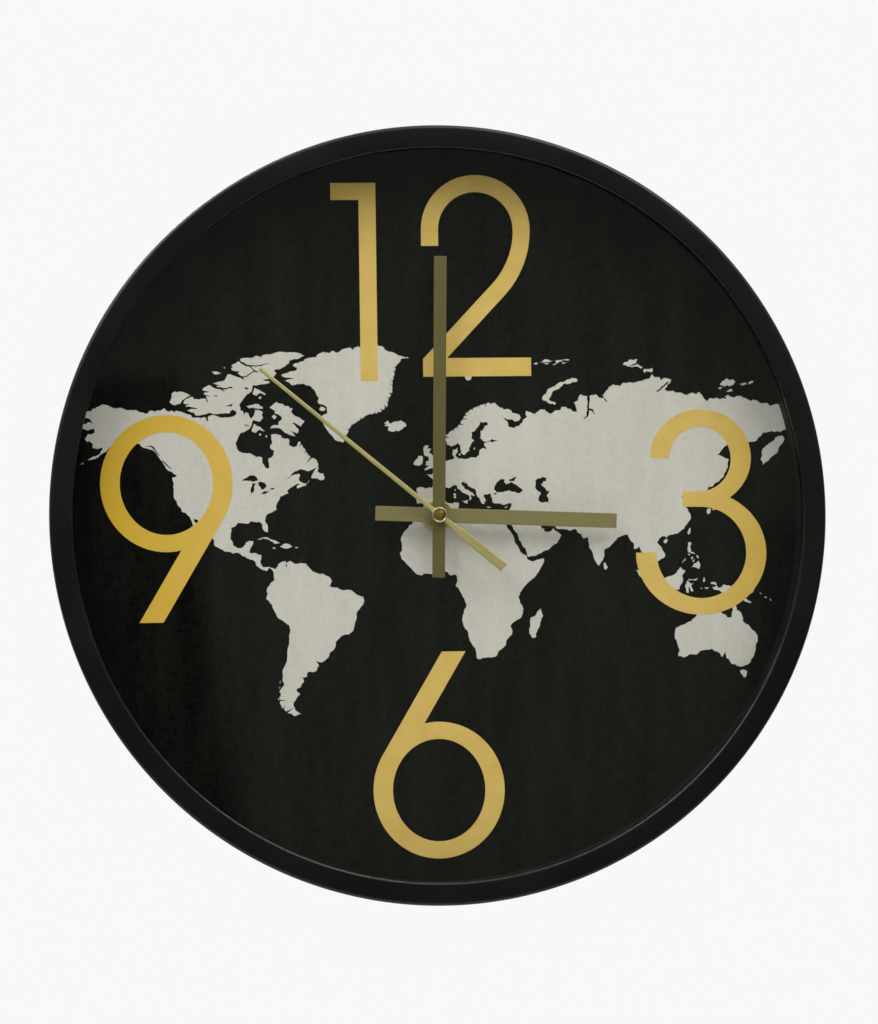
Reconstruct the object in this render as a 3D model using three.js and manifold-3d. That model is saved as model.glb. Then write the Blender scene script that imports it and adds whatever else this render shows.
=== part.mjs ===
// World map wall clock: a round moulded frame with a flat lens, a printed dial on a back plate, and a quartz
// movement that carries three hands. Millimetres, +Z up. The dial faces -Y, the wall is the plane y = 0, and
// the hands turn about the Y axis through the origin.
import * as THREE from 'three';
import { mergeVertices } from 'three/addons/utils/BufferGeometryUtils.js';
import Module from 'manifold-3d';

const wasm = await Module();
wasm.setup();

// Frame and lens
const FRAME_DIAMETER = 300;
const RIM_WIDTH = 8.8;
const RIM_THICKNESS = 3;
const SKIRT_WALL = 1.8;
const SKIRT_TAPER = 1.2;
const OUTER_ROUND = 1.6;
const INNER_ROUND = 1;
const LENS_SEAT = 1.6;
const LENS_THICKNESS = 2;
const SPACER_WALL = 1;

// Dial, back plate and its screws
const DIAL_THICKNESS = 0.4;
const PLATE_THICKNESS = 2.6;
const RIB_HEIGHT = 2;
const RIB_WIDTH = 1.6;
const RIB_COUNT = 12;
const SCREW_COUNT = 6;
const SCREW_SHANK_DIAMETER = 2.2;
const SCREW_LENGTH = 9;
const SCREW_HEAD_DIAMETER = 4.6;
const SCREW_HEAD_HEIGHT = 1.6;
const SCREW_HEAD_EDGE = 0.8;
const SCREW_HEAD_FLAT = 2.8;

// Hands, their angles clockwise from twelve, and the fixing on the dial
const HOUR_HAND_LENGTH = 69.5;
const HOUR_HAND_TAIL = 24.5;
const HOUR_HAND_WIDTH = 5.7;
const HOUR_HUB_DIAMETER = 9.9;
const HOUR_HAND_ANGLE = 91.6;
const MINUTE_HAND_LENGTH = 100.1;
const MINUTE_HAND_TAIL = 24.2;
const MINUTE_HAND_WIDTH = 4.9;
const MINUTE_HAND_ANGLE = 0.3;
const SECOND_HAND_LENGTH = 89.3;
const SECOND_HAND_TAIL = 32.2;
const SECOND_HAND_ROOT_WIDTH = 2.1;
const SECOND_HAND_TIP_WIDTH = 1.1;
const COUNTERWEIGHT_LENGTH = 20.4;
const COUNTERWEIGHT_WIDTH = 3.6;
const COUNTERWEIGHT_SHOULDER = 1.6;
const SECOND_HAND_ANGLE = 309.2;
const HAND_THICKNESS = 0.5;
const SECOND_HAND_THICKNESS = 0.3;
const CAP_DIAMETER = 5.4;
const CAP_RIM = 0.6;
const CAP_HEIGHT = 0.9;
const CAP_RECESS = 0.6;
const HAND_GAP = 0.9;
const TUBE_SPARE = 0.3;
const THREAD_SPARE = 0.8;
const NUT_ACROSS_FLATS = 10;
const NUT_THICKNESS = 2.4;
const WASHER_DIAMETER = 11.2;
const WASHER_THICKNESS = 0.5;
const RUBBER_DIAMETER = 18;
const RUBBER_THICKNESS = 1;
const LENS_CLEARANCE = 1.5;

// Arbors, one inside the other
const SECOND_ARBOR_DIAMETER = 1.2;
const MINUTE_TUBE_WALL = 0.8;
const HOUR_TUBE_WALL = 0.5;
const BUSH_WALL = 1.1;
const BUSH_FLANGE_WIDTH = 1.8;
const BUSH_FLANGE_THICKNESS = 0.5;

// Wheel train: teeth, modules and the directions of the centre lines
const ROTOR_LEAVES = 6;
const INTERMEDIATE_TEETH = 30;
const INTERMEDIATE_LEAVES = 6;
const SECOND_TEETH = 36;
const SECOND_LEAVES = 6;
const THIRD_TEETH = 45;
const THIRD_LEAVES = 6;
const CENTRE_TEETH = 48;
const CANNON_LEAVES = 10;
const MOTION_TEETH = 30;
const MOTION_LEAVES = 10;
const HOUR_TEETH = 40;
const SETTING_TEETH = 12;
const ROTOR_MODULE = 0.48;
const SECOND_MODULE = 0.48;
const THIRD_MODULE = 0.44;
const MOTION_MODULE = 0.5;
const THIRD_DIRECTION = 35;
const INTERMEDIATE_DIRECTION = 160;
const ROTOR_DIRECTION = 125;
const MOTION_DIRECTION = -40;
const SETTING_DIRECTION = -5;
const WHEEL_THICKNESS = 1;
const LAYER_GAP = 0.5;
const PINION_OVERHANG = 0.1;
const PIVOT_DIAMETER = 0.8;
const PIVOT_LENGTH = 1;
const ARBOR_DIAMETER = 1.4;
const BEARING_WALL = 0.8;
const MIDDLE_PLATE_THICKNESS = 1.2;
const MIDDLE_POST_DIAMETER = 2.4;
const MIDDLE_POST_INSET = 2.4;
const MIDDLE_CORNER = 1.2;

// Stepping motor and circuit
const MAGNET_DIAMETER = 5.6;
const MAGNET_LENGTH = 2.4;
const ROTOR_ARBOR_DIAMETER = 1.8;
const AIR_GAP = 0.5;
const STATOR_NECK = 1.2;
const STATOR_ARM = 3.2;
const STATOR_THICKNESS = 1;
const CORE_WIDTH = 2.4;
const CORE_THICKNESS = 1;
const CORE_CORNER = 0.6;
const BOBBIN_LENGTH = 13;
const BOBBIN_WALL = 0.6;
const BOBBIN_FLANGE = 0.8;
const WINDING_THICKNESS = 1.1;
const STAKE_DIAMETER = 1.2;
const BOARD_WIDTH = 24;
const BOARD_HEIGHT = 12;
const BOARD_THICKNESS = 1;
const BOARD_CORNER = 0.6;
const BOARD_POST_INSET = 2.5;
const BOARD_POST_DIAMETER = 2.5;
const CHIP_DIAMETER = 5;
const CHIP_HEIGHT = 1;
const CHIP_CROWN_DIAMETER = 3.5;
const CHIP_CROWN_HEIGHT = 0.25;
const CHIP_PLACE = 8;
const CRYSTAL_DIAMETER = 2;
const CRYSTAL_LENGTH = 6;

// Movement case, battery and setting knob
const CASE_WALL = 1.4;
const CASE_CORNER = 3;
const CASE_CLEARANCE = 0.5;
const COVER_THICKNESS = 2;
const BATTERY_DIAMETER = 14.5;
const BATTERY_LENGTH = 50.5;
const NUB_DIAMETER = 5.4;
const NUB_HEIGHT = 1.2;
const BATTERY_EDGE = 0.6;
const BATTERY_SUNK = 0.3;
const CONTACT_THICKNESS = 0.4;
const CONTACT_ROOM = 1.4;
const CONTACT_HEIGHT = 9;
const CONTACT_DEPTH = 8;
const CONTACT_FOOT = 1.8;
const KNOB_DIAMETER = 12;
const KNOB_HEIGHT = 3;
const KNOB_RIDGES = 16;
const KNOB_RIDGE_DEPTH = 0.5;
const RIDGE_ROOT_SHARE = 0.6;
const RIDGE_TIP_SHARE = 0.35;
const KNOB_SHAFT_DIAMETER = 3;
const LOOP_WIDTH = 26;
const LOOP_HEIGHT = 14;
const LOOP_CORNER = 7;
const LOOP_EYE_WIDTH = 12;
const LOOP_EYE_HEIGHT = 6;
const NAIL_NOTCH_WIDTH = 5;
const NAIL_NOTCH_HEIGHT = 2.5;
const WALL_CLEARANCE = 1;

// Clearances: flat faces that rest on each other, parts that fit inside others, and parts that turn
const SEAT_GAP = 0.1;
const FIT_GAP = 0.2;
const RUN_GAP = 0.3;
const PRESS_GAP = 0.06;

// Facets round the frame, round the small turned parts, round pins and round a corner
const FRAME_FACETS = 56;
const TURNED_FACETS = 20;
const PIN_FACETS = 8;
const CORNER_FACETS = 3;

// Depths along Y, from the rim at the front to the wall at y = 0
const handSpace = SEAT_GAP + WASHER_THICKNESS + SEAT_GAP + NUT_THICKNESS + THREAD_SPARE
  + 3 * HAND_GAP + 2 * (HAND_THICKNESS + TUBE_SPARE) + SECOND_HAND_THICKNESS + CAP_HEIGHT + LENS_CLEARANCE;
const hourLayer = CASE_WALL + BUSH_FLANGE_THICKNESS + LAYER_GAP;
const layerStep = WHEEL_THICKNESS + LAYER_GAP;
const motionLayer = hourLayer + layerStep;
const centreLayer = motionLayer + layerStep;
const thirdLayer = centreLayer + layerStep;
const middleFront = thirdLayer + layerStep;
const middleBack = middleFront + MIDDLE_PLATE_THICKNESS;
const secondLayer = middleBack + LAYER_GAP;
const intermediateLayer = secondLayer + layerStep;
const trainEnd = intermediateLayer + layerStep;
const boardLayer = middleBack + RUN_GAP;
const boardDepth = boardLayer + BOARD_THICKNESS + SEAT_GAP + CRYSTAL_DIAMETER + LAYER_GAP + COVER_THICKNESS;
const trainDepth = Math.max(trainEnd + PIVOT_LENGTH + FIT_GAP + COVER_THICKNESS, boardDepth);
const batteryDepth = CASE_WALL + RUN_GAP + BATTERY_DIAMETER + BATTERY_SUNK;
const caseDepth = Math.max(trainDepth, batteryDepth);
const coverFront = caseDepth - COVER_THICKNESS;
const caseEnd = coverFront - SEAT_GAP;
const frameDepth = RIM_THICKNESS + LENS_THICKNESS + handSpace + DIAL_THICKNESS + PLATE_THICKNESS
  + RUBBER_THICKNESS + 6 * SEAT_GAP + caseDepth + RUN_GAP + KNOB_HEIGHT + WALL_CLEARANCE;
const rimFront = -frameDepth;
const rimBack = rimFront + RIM_THICKNESS;
const lensFront = rimBack + SEAT_GAP;
const lensBack = lensFront + LENS_THICKNESS;
const spacerFront = lensBack + SEAT_GAP;
const dialFront = lensBack + handSpace;
const dialBack = dialFront + DIAL_THICKNESS;
const plateFront = dialBack + SEAT_GAP;
const plateBack = plateFront + PLATE_THICKNESS;
const rubberFront = plateBack + SEAT_GAP;
const movementFront = rubberFront + RUBBER_THICKNESS + SEAT_GAP;
const washerBack = dialFront - SEAT_GAP;
const nutBack = washerBack - WASHER_THICKNESS - SEAT_GAP;
const bushFront = nutBack - NUT_THICKNESS - THREAD_SPARE;
const hourHandBack = bushFront - HAND_GAP;
const hourTubeFront = hourHandBack - HAND_THICKNESS - TUBE_SPARE;
const minuteHandBack = hourTubeFront - HAND_GAP;
const minuteTubeFront = minuteHandBack - HAND_THICKNESS - TUBE_SPARE;
const secondHandBack = minuteTubeFront - HAND_GAP;
const secondHandFront = secondHandBack - SECOND_HAND_THICKNESS;
const capFront = secondHandFront - CAP_HEIGHT;

// Radii from the hands' axis
const frameRadius = FRAME_DIAMETER / 2;
const openingRadius = frameRadius - RIM_WIDTH;
const lensRadius = openingRadius + LENS_SEAT;
const spacerRadius = openingRadius + SPACER_WALL;
const outerRadiusAt = (y) => frameRadius - SKIRT_TAPER * (y - rimFront) / frameDepth;
const innerRadiusAt = (y) => outerRadiusAt(y) - SKIRT_WALL;
const plateRadius = innerRadiusAt(0) - FIT_GAP;
const screwCircle = innerRadiusAt(plateBack + SCREW_HEAD_HEIGHT) - FIT_GAP - SCREW_HEAD_DIAMETER / 2;
const bossRadius = screwCircle - spacerRadius - FIT_GAP;
const screwAngles = Array.from({ length: SCREW_COUNT }, (_, i) => 2 * Math.PI * (i + 0.5) / SCREW_COUNT);
const secondRadius = SECOND_ARBOR_DIAMETER / 2;
const minuteBore = secondRadius + RUN_GAP;
const minuteRadius = minuteBore + MINUTE_TUBE_WALL;
const hourBore = minuteRadius + RUN_GAP;
const hourRadius = hourBore + HOUR_TUBE_WALL;
const bushBore = hourRadius + RUN_GAP;
const bushRadius = bushBore + BUSH_WALL;
const pivotRadius = PIVOT_DIAMETER / 2;
const arborRadius = ARBOR_DIAMETER / 2;
const bearingBore = pivotRadius + FIT_GAP;
const bearingRadius = bearingBore + BEARING_WALL;
const knobShaftRadius = KNOB_SHAFT_DIAMETER / 2;

// Centres of the wheels in the dial plane, as (x, z) pairs held in a Vector2
const radians = THREE.MathUtils.degToRad;
const fromCentre = (centre, degrees, distance) => new THREE.Vector2(
  centre.x + distance * Math.cos(radians(degrees)), centre.y + distance * Math.sin(radians(degrees)));
const centreAxis = new THREE.Vector2(0, 0);
const thirdDistance = THIRD_MODULE * (THIRD_TEETH + SECOND_LEAVES) / 2;
const centreModule = 2 * thirdDistance / (CENTRE_TEETH + THIRD_LEAVES);
const motionDistance = MOTION_MODULE * (CANNON_LEAVES + MOTION_TEETH) / 2;
const hourModule = 2 * motionDistance / (HOUR_TEETH + MOTION_LEAVES);
const intermediateDistance = SECOND_MODULE * (SECOND_TEETH + INTERMEDIATE_LEAVES) / 2;
const rotorDistance = ROTOR_MODULE * (INTERMEDIATE_TEETH + ROTOR_LEAVES) / 2;
const settingDistance = MOTION_MODULE * (MOTION_TEETH + SETTING_TEETH) / 2;
const thirdAxis = fromCentre(centreAxis, THIRD_DIRECTION, thirdDistance);
const intermediateAxis = fromCentre(centreAxis, INTERMEDIATE_DIRECTION, intermediateDistance);
const rotorAxis = fromCentre(intermediateAxis, ROTOR_DIRECTION, rotorDistance);
const motionAxis = fromCentre(centreAxis, MOTION_DIRECTION, motionDistance);
const settingAxis = fromCentre(motionAxis, SETTING_DIRECTION, settingDistance);

// Teeth from root to tip: height over the pitch circle in modules, and width as a share of the pitch
const WHEEL_TOOTH = [[-1.2, 0.6], [0.9, 0.2]];
const PINION_LEAF = [[-1.25, 0.34], [0, 0.34], [0.75, 0.14]];
const tipRadius = (teeth, module) => module * (teeth / 2 + WHEEL_TOOTH.at(-1)[0]);

// Inside of the movement case, set by the wheels, the coil and the battery
const magnetRadius = MAGNET_DIAMETER / 2;
const statorHole = magnetRadius + AIR_GAP;
const coilRadius = CORE_WIDTH / 2 + BOBBIN_WALL + WINDING_THICKNESS + BOBBIN_FLANGE;
const coilHeight = rotorAxis.y + statorHole + STATOR_NECK + RUN_GAP + coilRadius;
const coilHalf = BOBBIN_LENGTH / 2 + FIT_GAP + STATOR_ARM;
const bayHalf = BATTERY_LENGTH / 2 + CONTACT_ROOM;
const thirdReach = tipRadius(THIRD_TEETH, THIRD_MODULE);
const motionReach = tipRadius(MOTION_TEETH, MOTION_MODULE);
const caseInside = CASE_CLEARANCE + Math.max(bayHalf - CASE_CLEARANCE, thirdAxis.x + thirdReach,
  coilHalf - rotorAxis.x, settingAxis.x + KNOB_DIAMETER / 2);
const caseTop = CASE_CLEARANCE + Math.max(coilHeight + coilRadius, thirdAxis.y + thirdReach);
const partitionTop = Math.min(motionAxis.y - motionReach, settingAxis.y - KNOB_DIAMETER / 2,
  -tipRadius(SECOND_TEETH, SECOND_MODULE)) - CASE_CLEARANCE;
const bayTop = partitionTop - CASE_WALL;
const batteryHeight = bayTop - RUN_GAP - BATTERY_DIAMETER / 2;
const bayBottom = batteryHeight - BATTERY_DIAMETER / 2 - RUN_GAP;
const caseHalfWidth = caseInside + CASE_WALL;
const caseUpper = caseTop + CASE_WALL;
const caseLower = bayBottom - CASE_WALL;
const statorFront = thirdLayer;
const coreFront = statorFront + STATOR_THICKNESS + SEAT_GAP;
const coilDepth = coreFront + CORE_THICKNESS / 2;
const magnetFront = statorFront + STATOR_THICKNESS / 2 - MAGNET_LENGTH / 2;
const boardBottom = tipRadius(SECOND_TEETH, SECOND_MODULE) + RUN_GAP;
const boardLeft = caseInside - CASE_CLEARANCE - BOARD_WIDTH;
const loopTop = caseUpper + LOOP_HEIGHT;
const notchTop = caseUpper + LOOP_EYE_HEIGHT + NAIL_NOTCH_HEIGHT;

// Solids that manifold joins and cuts, made from closed geometries and turned back into geometry
const MERGE_DISTANCE = 1e-4;

function solidOf(geometry) {
  const bare = geometry.clone();
  bare.deleteAttribute('normal');
  bare.deleteAttribute('uv');
  const merged = mergeVertices(bare, MERGE_DISTANCE);
  const corners = merged.index.array;
  const triVerts = [];
  for (let i = 0; i < corners.length; i += 3) {
    const [a, b, c] = [corners[i], corners[i + 1], corners[i + 2]];
    if (a !== b && b !== c && c !== a) triVerts.push(a, b, c);
  }
  const vertProperties = new Float32Array(merged.attributes.position.array);
  const mesh = new wasm.Mesh({ numProp: 3, vertProperties, triVerts: new Uint32Array(triVerts) });
  return new wasm.Manifold(mesh);
}

function geometryOf(solid) {
  const mesh = solid.getMesh();
  const geometry = new THREE.BufferGeometry();
  geometry.setAttribute('position', new THREE.BufferAttribute(mesh.vertProperties, 3));
  geometry.setIndex(new THREE.BufferAttribute(mesh.triVerts, 1));
  geometry.computeVertexNormals();
  return geometry;
}

const join = (first, ...others) => geometryOf(
  others.reduce((solid, other) => solid.add(solidOf(other)), solidOf(first)));
const cut = (first, ...tools) => geometryOf(
  tools.reduce((solid, tool) => solid.subtract(solidOf(tool)), solidOf(first)));

// Geometry helpers: outlines lie in the dial plane, and depth runs along Y from front to back
const turned = (profile, facets) => new THREE.LatheGeometry(
  profile.map(([r, y]) => new THREE.Vector2(r, y)), facets);
const rod = (radius, front, back, facets = PIN_FACETS) => turned(
  [[0, front], [radius, front], [radius, back], [0, back]], facets);
const tube = (bore, radius, front, back, facets = TURNED_FACETS) => turned(
  [[bore, front], [radius, front], [radius, back], [bore, back], [bore, front]], facets);
const at = (geometry, centre) => geometry.translate(centre.x, 0, centre.y);

const plate = (shape, front, back) => new THREE.ExtrudeGeometry(shape, {
  depth: back - front, bevelEnabled: false,
}).rotateX(Math.PI / 2).translate(0, back, 0);

// Points on an arc about a centre, angles in degrees
function arc(centre, radius, from, to, steps) {
  const step = (to - from) / steps;
  return Array.from({ length: steps + 1 }, (_, i) => fromCentre(centre, from + i * step, radius));
}

const circle = (radius, centre = centreAxis, facets = PIN_FACETS) => new THREE.Path(
  arc(centre, radius, 0, 360, facets).slice(1));
const disc = (radius, facets) => new THREE.Shape(arc(centreAxis, radius, 0, 360, facets).slice(1));

function block(left, right, front, back, bottom, top) {
  return new THREE.BoxGeometry(right - left, back - front, top - bottom)
    .translate((left + right) / 2, (front + back) / 2, (bottom + top) / 2);
}

function roundedRectangle(left, right, bottom, top, corner) {
  const [xLow, xHigh, zLow, zHigh] = [left + corner, right - corner, bottom + corner, top - corner];
  const corners = [[xHigh, zLow, -90], [xHigh, zHigh, 0], [xLow, zHigh, 90], [xLow, zLow, 180]];
  return new THREE.Shape(corners.flatMap(([x, z, from]) => arc(
    new THREE.Vector2(x, z), corner, from, from + 90, CORNER_FACETS)));
}

// Outline of a wheel or pinion with one tooth centred on the angle phase
function toothedShape(teeth, module, form, phase) {
  const pitch = 2 * Math.PI / teeth;
  const rising = form.map(([height, share]) => [module * (teeth / 2 + height), -share * pitch / 2]);
  const falling = rising.map(([radius, offset]) => [radius, -offset]).reverse();
  const flanks = [...rising, ...falling];
  const points = Array.from({ length: teeth }, (_, tooth) => flanks.map(([radius, offset]) => {
    const angle = phase + tooth * pitch + offset;
    return new THREE.Vector2(radius * Math.cos(angle), radius * Math.sin(angle));
  }));
  return new THREE.Shape(points.flat());
}

// Phase that puts a gap of the driven wheel over a tooth of the driver, on the line between their centres
function meshingPhase(driverTeeth, driverPhase, driverAxis, drivenTeeth, drivenAxis) {
  const direction = drivenAxis.clone().sub(driverAxis).angle();
  const place = (direction - driverPhase) * driverTeeth / (2 * Math.PI);
  return direction + Math.PI - (0.5 - place) * 2 * Math.PI / drivenTeeth;
}

const wheel = (teeth, module, phase, front) => plate(
  toothedShape(teeth, module, WHEEL_TOOTH, phase), front, front + WHEEL_THICKNESS);
const pinion = (leaves, module, phase, front, back) => plate(
  toothedShape(leaves, module, PINION_LEAF, phase), front, back);

// The object: movement parts share a group whose y = 0 is the movement's front face
const clock = new THREE.Group();
const movement = new THREE.Group();
movement.position.y = movementFront;
clock.add(movement);

function piece(name, geometry, color, roughness, metalness, parent = clock) {
  const mesh = new THREE.Mesh(geometry, new THREE.MeshStandardMaterial({ color, roughness, metalness }));
  mesh.name = name;
  parent.add(mesh);
  return mesh;
}

const BLACK_PLASTIC = 0x16161a;
const CASE_PLASTIC = 0x1d1d1f;
const WHEEL_PLASTIC = 0xe9e4d8;
const BRASS = 0xc2a25a;
const STEEL = 0xb9bcc0;
const HAND_GOLD = 0x857a4c;

// Frame: one moulding, with the lens rebate behind the rim and a boss for each back plate screw
function frameGeometry() {
  const rearOuter = outerRadiusAt(0);
  const innerRound = new THREE.Vector2(openingRadius + INNER_ROUND, rimFront + INNER_ROUND);
  const outerRound = new THREE.Vector2(frameRadius - OUTER_ROUND, rimFront + OUTER_ROUND);
  const profile = [
    ...arc(innerRound, INNER_ROUND, 180, 270, CORNER_FACETS).map(({ x, y }) => [x, y]),
    ...arc(outerRound, OUTER_ROUND, 270, 360, CORNER_FACETS).map(({ x, y }) => [x, y]),
    [rearOuter, 0],
    [rearOuter - SKIRT_WALL, 0],
    [innerRadiusAt(lensBack), lensBack],
    [lensRadius + FIT_GAP, lensBack],
    [lensRadius + FIT_GAP, rimBack],
    [openingRadius, rimBack],
    [openingRadius, rimFront + INNER_ROUND],
  ];
  const bossBack = plateFront - SEAT_GAP;
  const rootRadius = outerRadiusAt(bossBack) - SKIRT_WALL / 2;
  const nose = arc(new THREE.Vector2(screwCircle, 0), bossRadius, 90, 270, PIN_FACETS / 2);
  const root = [-bossRadius, bossRadius].map((side) => new THREE.Vector2(rootRadius, side));
  const boss = plate(new THREE.Shape([...nose, ...root]), lensBack, bossBack);
  const hole = rod(SCREW_SHANK_DIAMETER / 2 + PRESS_GAP, spacerFront, plateBack)
    .translate(screwCircle, 0, 0);
  const bosses = screwAngles.map((angle) => boss.clone().rotateY(angle));
  const holes = screwAngles.map((angle) => hole.clone().rotateY(angle));
  return cut(join(turned(profile, FRAME_FACETS), ...bosses), ...holes);
}
piece('bezel_frame', frameGeometry(), BLACK_PLASTIC, 0.45, 0);

// Lens and the ring that holds it against the rim
piece('lens', rod(lensRadius, lensFront, lensBack, FRAME_FACETS), 0xf4f8f8, 0.05, 0);
piece('spacer_ring', tube(openingRadius, spacerRadius, spacerFront, dialFront - SEAT_GAP, FRAME_FACETS),
  BLACK_PLASTIC, 0.5, 0);

// Dial sheet on the back plate, which has a ring rib round the movement and radial ribs to its edge
const shaftHole = bushRadius + FIT_GAP;
const dialShape = disc(spacerRadius, FRAME_FACETS);
dialShape.holes.push(circle(shaftHole, centreAxis, TURNED_FACETS));
piece('dial', plate(dialShape, dialFront, dialBack), 0x1c1e1a, 0.8, 0);

function backPlateGeometry() {
  const shape = disc(plateRadius, FRAME_FACETS);
  shape.holes.push(circle(shaftHole, centreAxis, TURNED_FACETS));
  const ringInner = Math.hypot(caseHalfWidth, Math.max(-caseLower, loopTop)) + CASE_CLEARANCE;
  const ringOuter = ringInner + RIB_WIDTH;
  const ribBack = plateBack + RIB_HEIGHT;
  const ribEnd = screwCircle - SCREW_HEAD_DIAMETER / 2;
  const ribFront = plateFront + PLATE_THICKNESS / 2;
  const rib = block(ringInner + RIB_WIDTH / 2, ribEnd, ribFront, ribBack, -RIB_WIDTH / 2, RIB_WIDTH / 2);
  const ribs = Array.from({ length: RIB_COUNT }, (_, i) => rib.clone()
    .rotateY(2 * Math.PI * (i + 0.5) / RIB_COUNT));
  const screwHole = rod(SCREW_SHANK_DIAMETER / 2 + FIT_GAP, dialFront, ribBack).translate(screwCircle, 0, 0);
  const screwHoles = screwAngles.map((angle) => screwHole.clone().rotateY(angle));
  const ring = tube(ringInner, ringOuter, ribFront, ribBack, FRAME_FACETS / 2);
  return cut(join(plate(shape, plateFront, plateBack), ring, ...ribs), ...screwHoles);
}
piece('back_plate', backPlateGeometry(), BLACK_PLASTIC, 0.6, 0);

const headFront = plateBack + SEAT_GAP;
const headRadius = SCREW_HEAD_DIAMETER / 2;
const screwProfile = [
  [0, headFront - SCREW_LENGTH],
  [SCREW_SHANK_DIAMETER / 2, headFront - SCREW_LENGTH + SCREW_SHANK_DIAMETER / 2],
  [SCREW_SHANK_DIAMETER / 2, headFront],
  [headRadius, headFront],
  [headRadius, headFront + SCREW_HEAD_EDGE],
  [SCREW_HEAD_FLAT / 2, headFront + SCREW_HEAD_HEIGHT],
  [0, headFront + SCREW_HEAD_HEIGHT],
];
screwAngles.forEach((angle, i) => {
  const screw = turned(screwProfile, PIN_FACETS).translate(screwCircle, 0, 0);
  piece(`plate_screw_${i + 1}`, screw.rotateY(angle), STEEL, 0.35, 1);
});

// Fixing of the movement: rubber behind the plate, washer and nut on the dial
piece('rubber_washer', tube(shaftHole, RUBBER_DIAMETER / 2, rubberFront, rubberFront + RUBBER_THICKNESS),
  0x151515, 0.9, 0);
piece('brass_washer', tube(shaftHole, WASHER_DIAMETER / 2, washerBack - WASHER_THICKNESS, washerBack),
  BRASS, 0.35, 1);
const nutCorner = NUT_ACROSS_FLATS / Math.sqrt(3);
const nutShape = new THREE.Shape(Array.from({ length: 6 }, (_, i) => new THREE.Vector2(
  nutCorner * Math.cos(i * Math.PI / 3), nutCorner * Math.sin(i * Math.PI / 3))));
nutShape.holes.push(circle(bushRadius + FIT_GAP, centreAxis, TURNED_FACETS));
piece('shaft_nut', plate(nutShape, nutBack - NUT_THICKNESS, nutBack), BRASS, 0.3, 1);

// Hands: drawn towards twelve in the dial plane, then turned clockwise to their angles
function bar(length, tail, width) {
  return new THREE.Shape([[-1, -tail], [1, -tail], [1, length], [-1, length]]
    .map(([side, z]) => new THREE.Vector2(side * width / 2, z)));
}

function handGroup(angle) {
  const group = new THREE.Group();
  group.rotation.y = radians(angle);
  clock.add(group);
  return group;
}

const hourHandFront = hourHandBack - HAND_THICKNESS;
const hourHub = rod(HOUR_HUB_DIAMETER / 2, hourHandFront, hourHandBack, TURNED_FACETS);
const hourHole = rod(hourRadius + PRESS_GAP, hourTubeFront, bushFront, TURNED_FACETS);
const hourBar = plate(bar(HOUR_HAND_LENGTH, HOUR_HAND_TAIL, HOUR_HAND_WIDTH), hourHandFront, hourHandBack);
piece('hour_hand', cut(join(hourBar, hourHub), hourHole), HAND_GOLD, 0.4, 1, handGroup(HOUR_HAND_ANGLE));

const minuteShape = bar(MINUTE_HAND_LENGTH, MINUTE_HAND_TAIL, MINUTE_HAND_WIDTH);
minuteShape.holes.push(circle(minuteRadius + PRESS_GAP, centreAxis, TURNED_FACETS));
piece('minute_hand', plate(minuteShape, minuteHandBack - HAND_THICKNESS, minuteHandBack),
  HAND_GOLD, 0.4, 1, handGroup(MINUTE_HAND_ANGLE));

function secondHandGeometry() {
  const halves = [
    [SECOND_HAND_TIP_WIDTH, SECOND_HAND_LENGTH],
    [SECOND_HAND_ROOT_WIDTH, 0],
    [SECOND_HAND_ROOT_WIDTH, COUNTERWEIGHT_LENGTH - SECOND_HAND_TAIL + COUNTERWEIGHT_SHOULDER],
    [COUNTERWEIGHT_WIDTH, COUNTERWEIGHT_LENGTH - SECOND_HAND_TAIL],
    [COUNTERWEIGHT_WIDTH, -SECOND_HAND_TAIL],
  ];
  const right = halves.map(([width, z]) => new THREE.Vector2(width / 2, z));
  const left = halves.map(([width, z]) => new THREE.Vector2(-width / 2, z)).reverse();
  const needle = plate(new THREE.Shape([...right, ...left]), secondHandFront, secondHandBack);
  const boss = rod(CAP_DIAMETER / 2, secondHandFront, secondHandBack, TURNED_FACETS);
  return cut(join(needle, boss), rod(secondRadius + PRESS_GAP, capFront, minuteTubeFront));
}
const secondGroup = handGroup(SECOND_HAND_ANGLE);
piece('second_hand', secondHandGeometry(), 0xbeaf6e, 0.35, 1, secondGroup);
const capRadius = CAP_DIAMETER / 2;
const capFloor = capFront + CAP_RECESS;
const capBack = secondHandFront - PRESS_GAP;
piece('second_hand_cap', turned([
  [0, capFloor], [capRadius - CAP_RIM, capFloor], [capRadius - CAP_RIM, capFront], [capRadius, capFront],
  [capRadius, capBack], [0, capBack],
], TURNED_FACETS), 0xd2b667, 0.2, 1, secondGroup);

// Movement case: a tray with a pocket for the train, one for the battery, and a post under each pivot
const pinionFront = (layer) => layer - PINION_OVERHANG;
const pivotEnd = (layer) => pinionFront(layer) - LAYER_GAP;
const rotorBearing = magnetFront - LAYER_GAP;
const frontBearings = [[thirdAxis, pivotEnd(centreLayer)], [rotorAxis, rotorBearing]];
const rearBearings = [[centreAxis, trainEnd], [intermediateAxis, trainEnd], [rotorAxis, trainEnd]];
const middleHalf = caseInside - FIT_GAP;
const middleLower = partitionTop + FIT_GAP;
const middleUpper = coilHeight - coilRadius - RUN_GAP;
const statorFoot = rotorAxis.y - statorHole - STATOR_NECK;
const middlePostHeights = [middleLower + MIDDLE_POST_INSET, statorFoot - MIDDLE_POST_INSET];
const middlePosts = [-1, 1].flatMap((side) => middlePostHeights.map(
  (height) => new THREE.Vector2(side * (middleHalf - MIDDLE_POST_INSET), height)));
const statorEnds = [-1, 1].map((side) => new THREE.Vector2(
  rotorAxis.x + side * (coilHalf - STATOR_ARM / 2), coilHeight));
const boardPosts = [BOARD_POST_INSET, BOARD_WIDTH - BOARD_POST_INSET].map((inset) => new THREE.Vector2(
  boardLeft + inset, boardBottom + BOARD_HEIGHT - BOARD_POST_INSET));
const stakeRadius = STAKE_DIAMETER / 2;
const stakeHole = stakeRadius + FIT_GAP;

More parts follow.
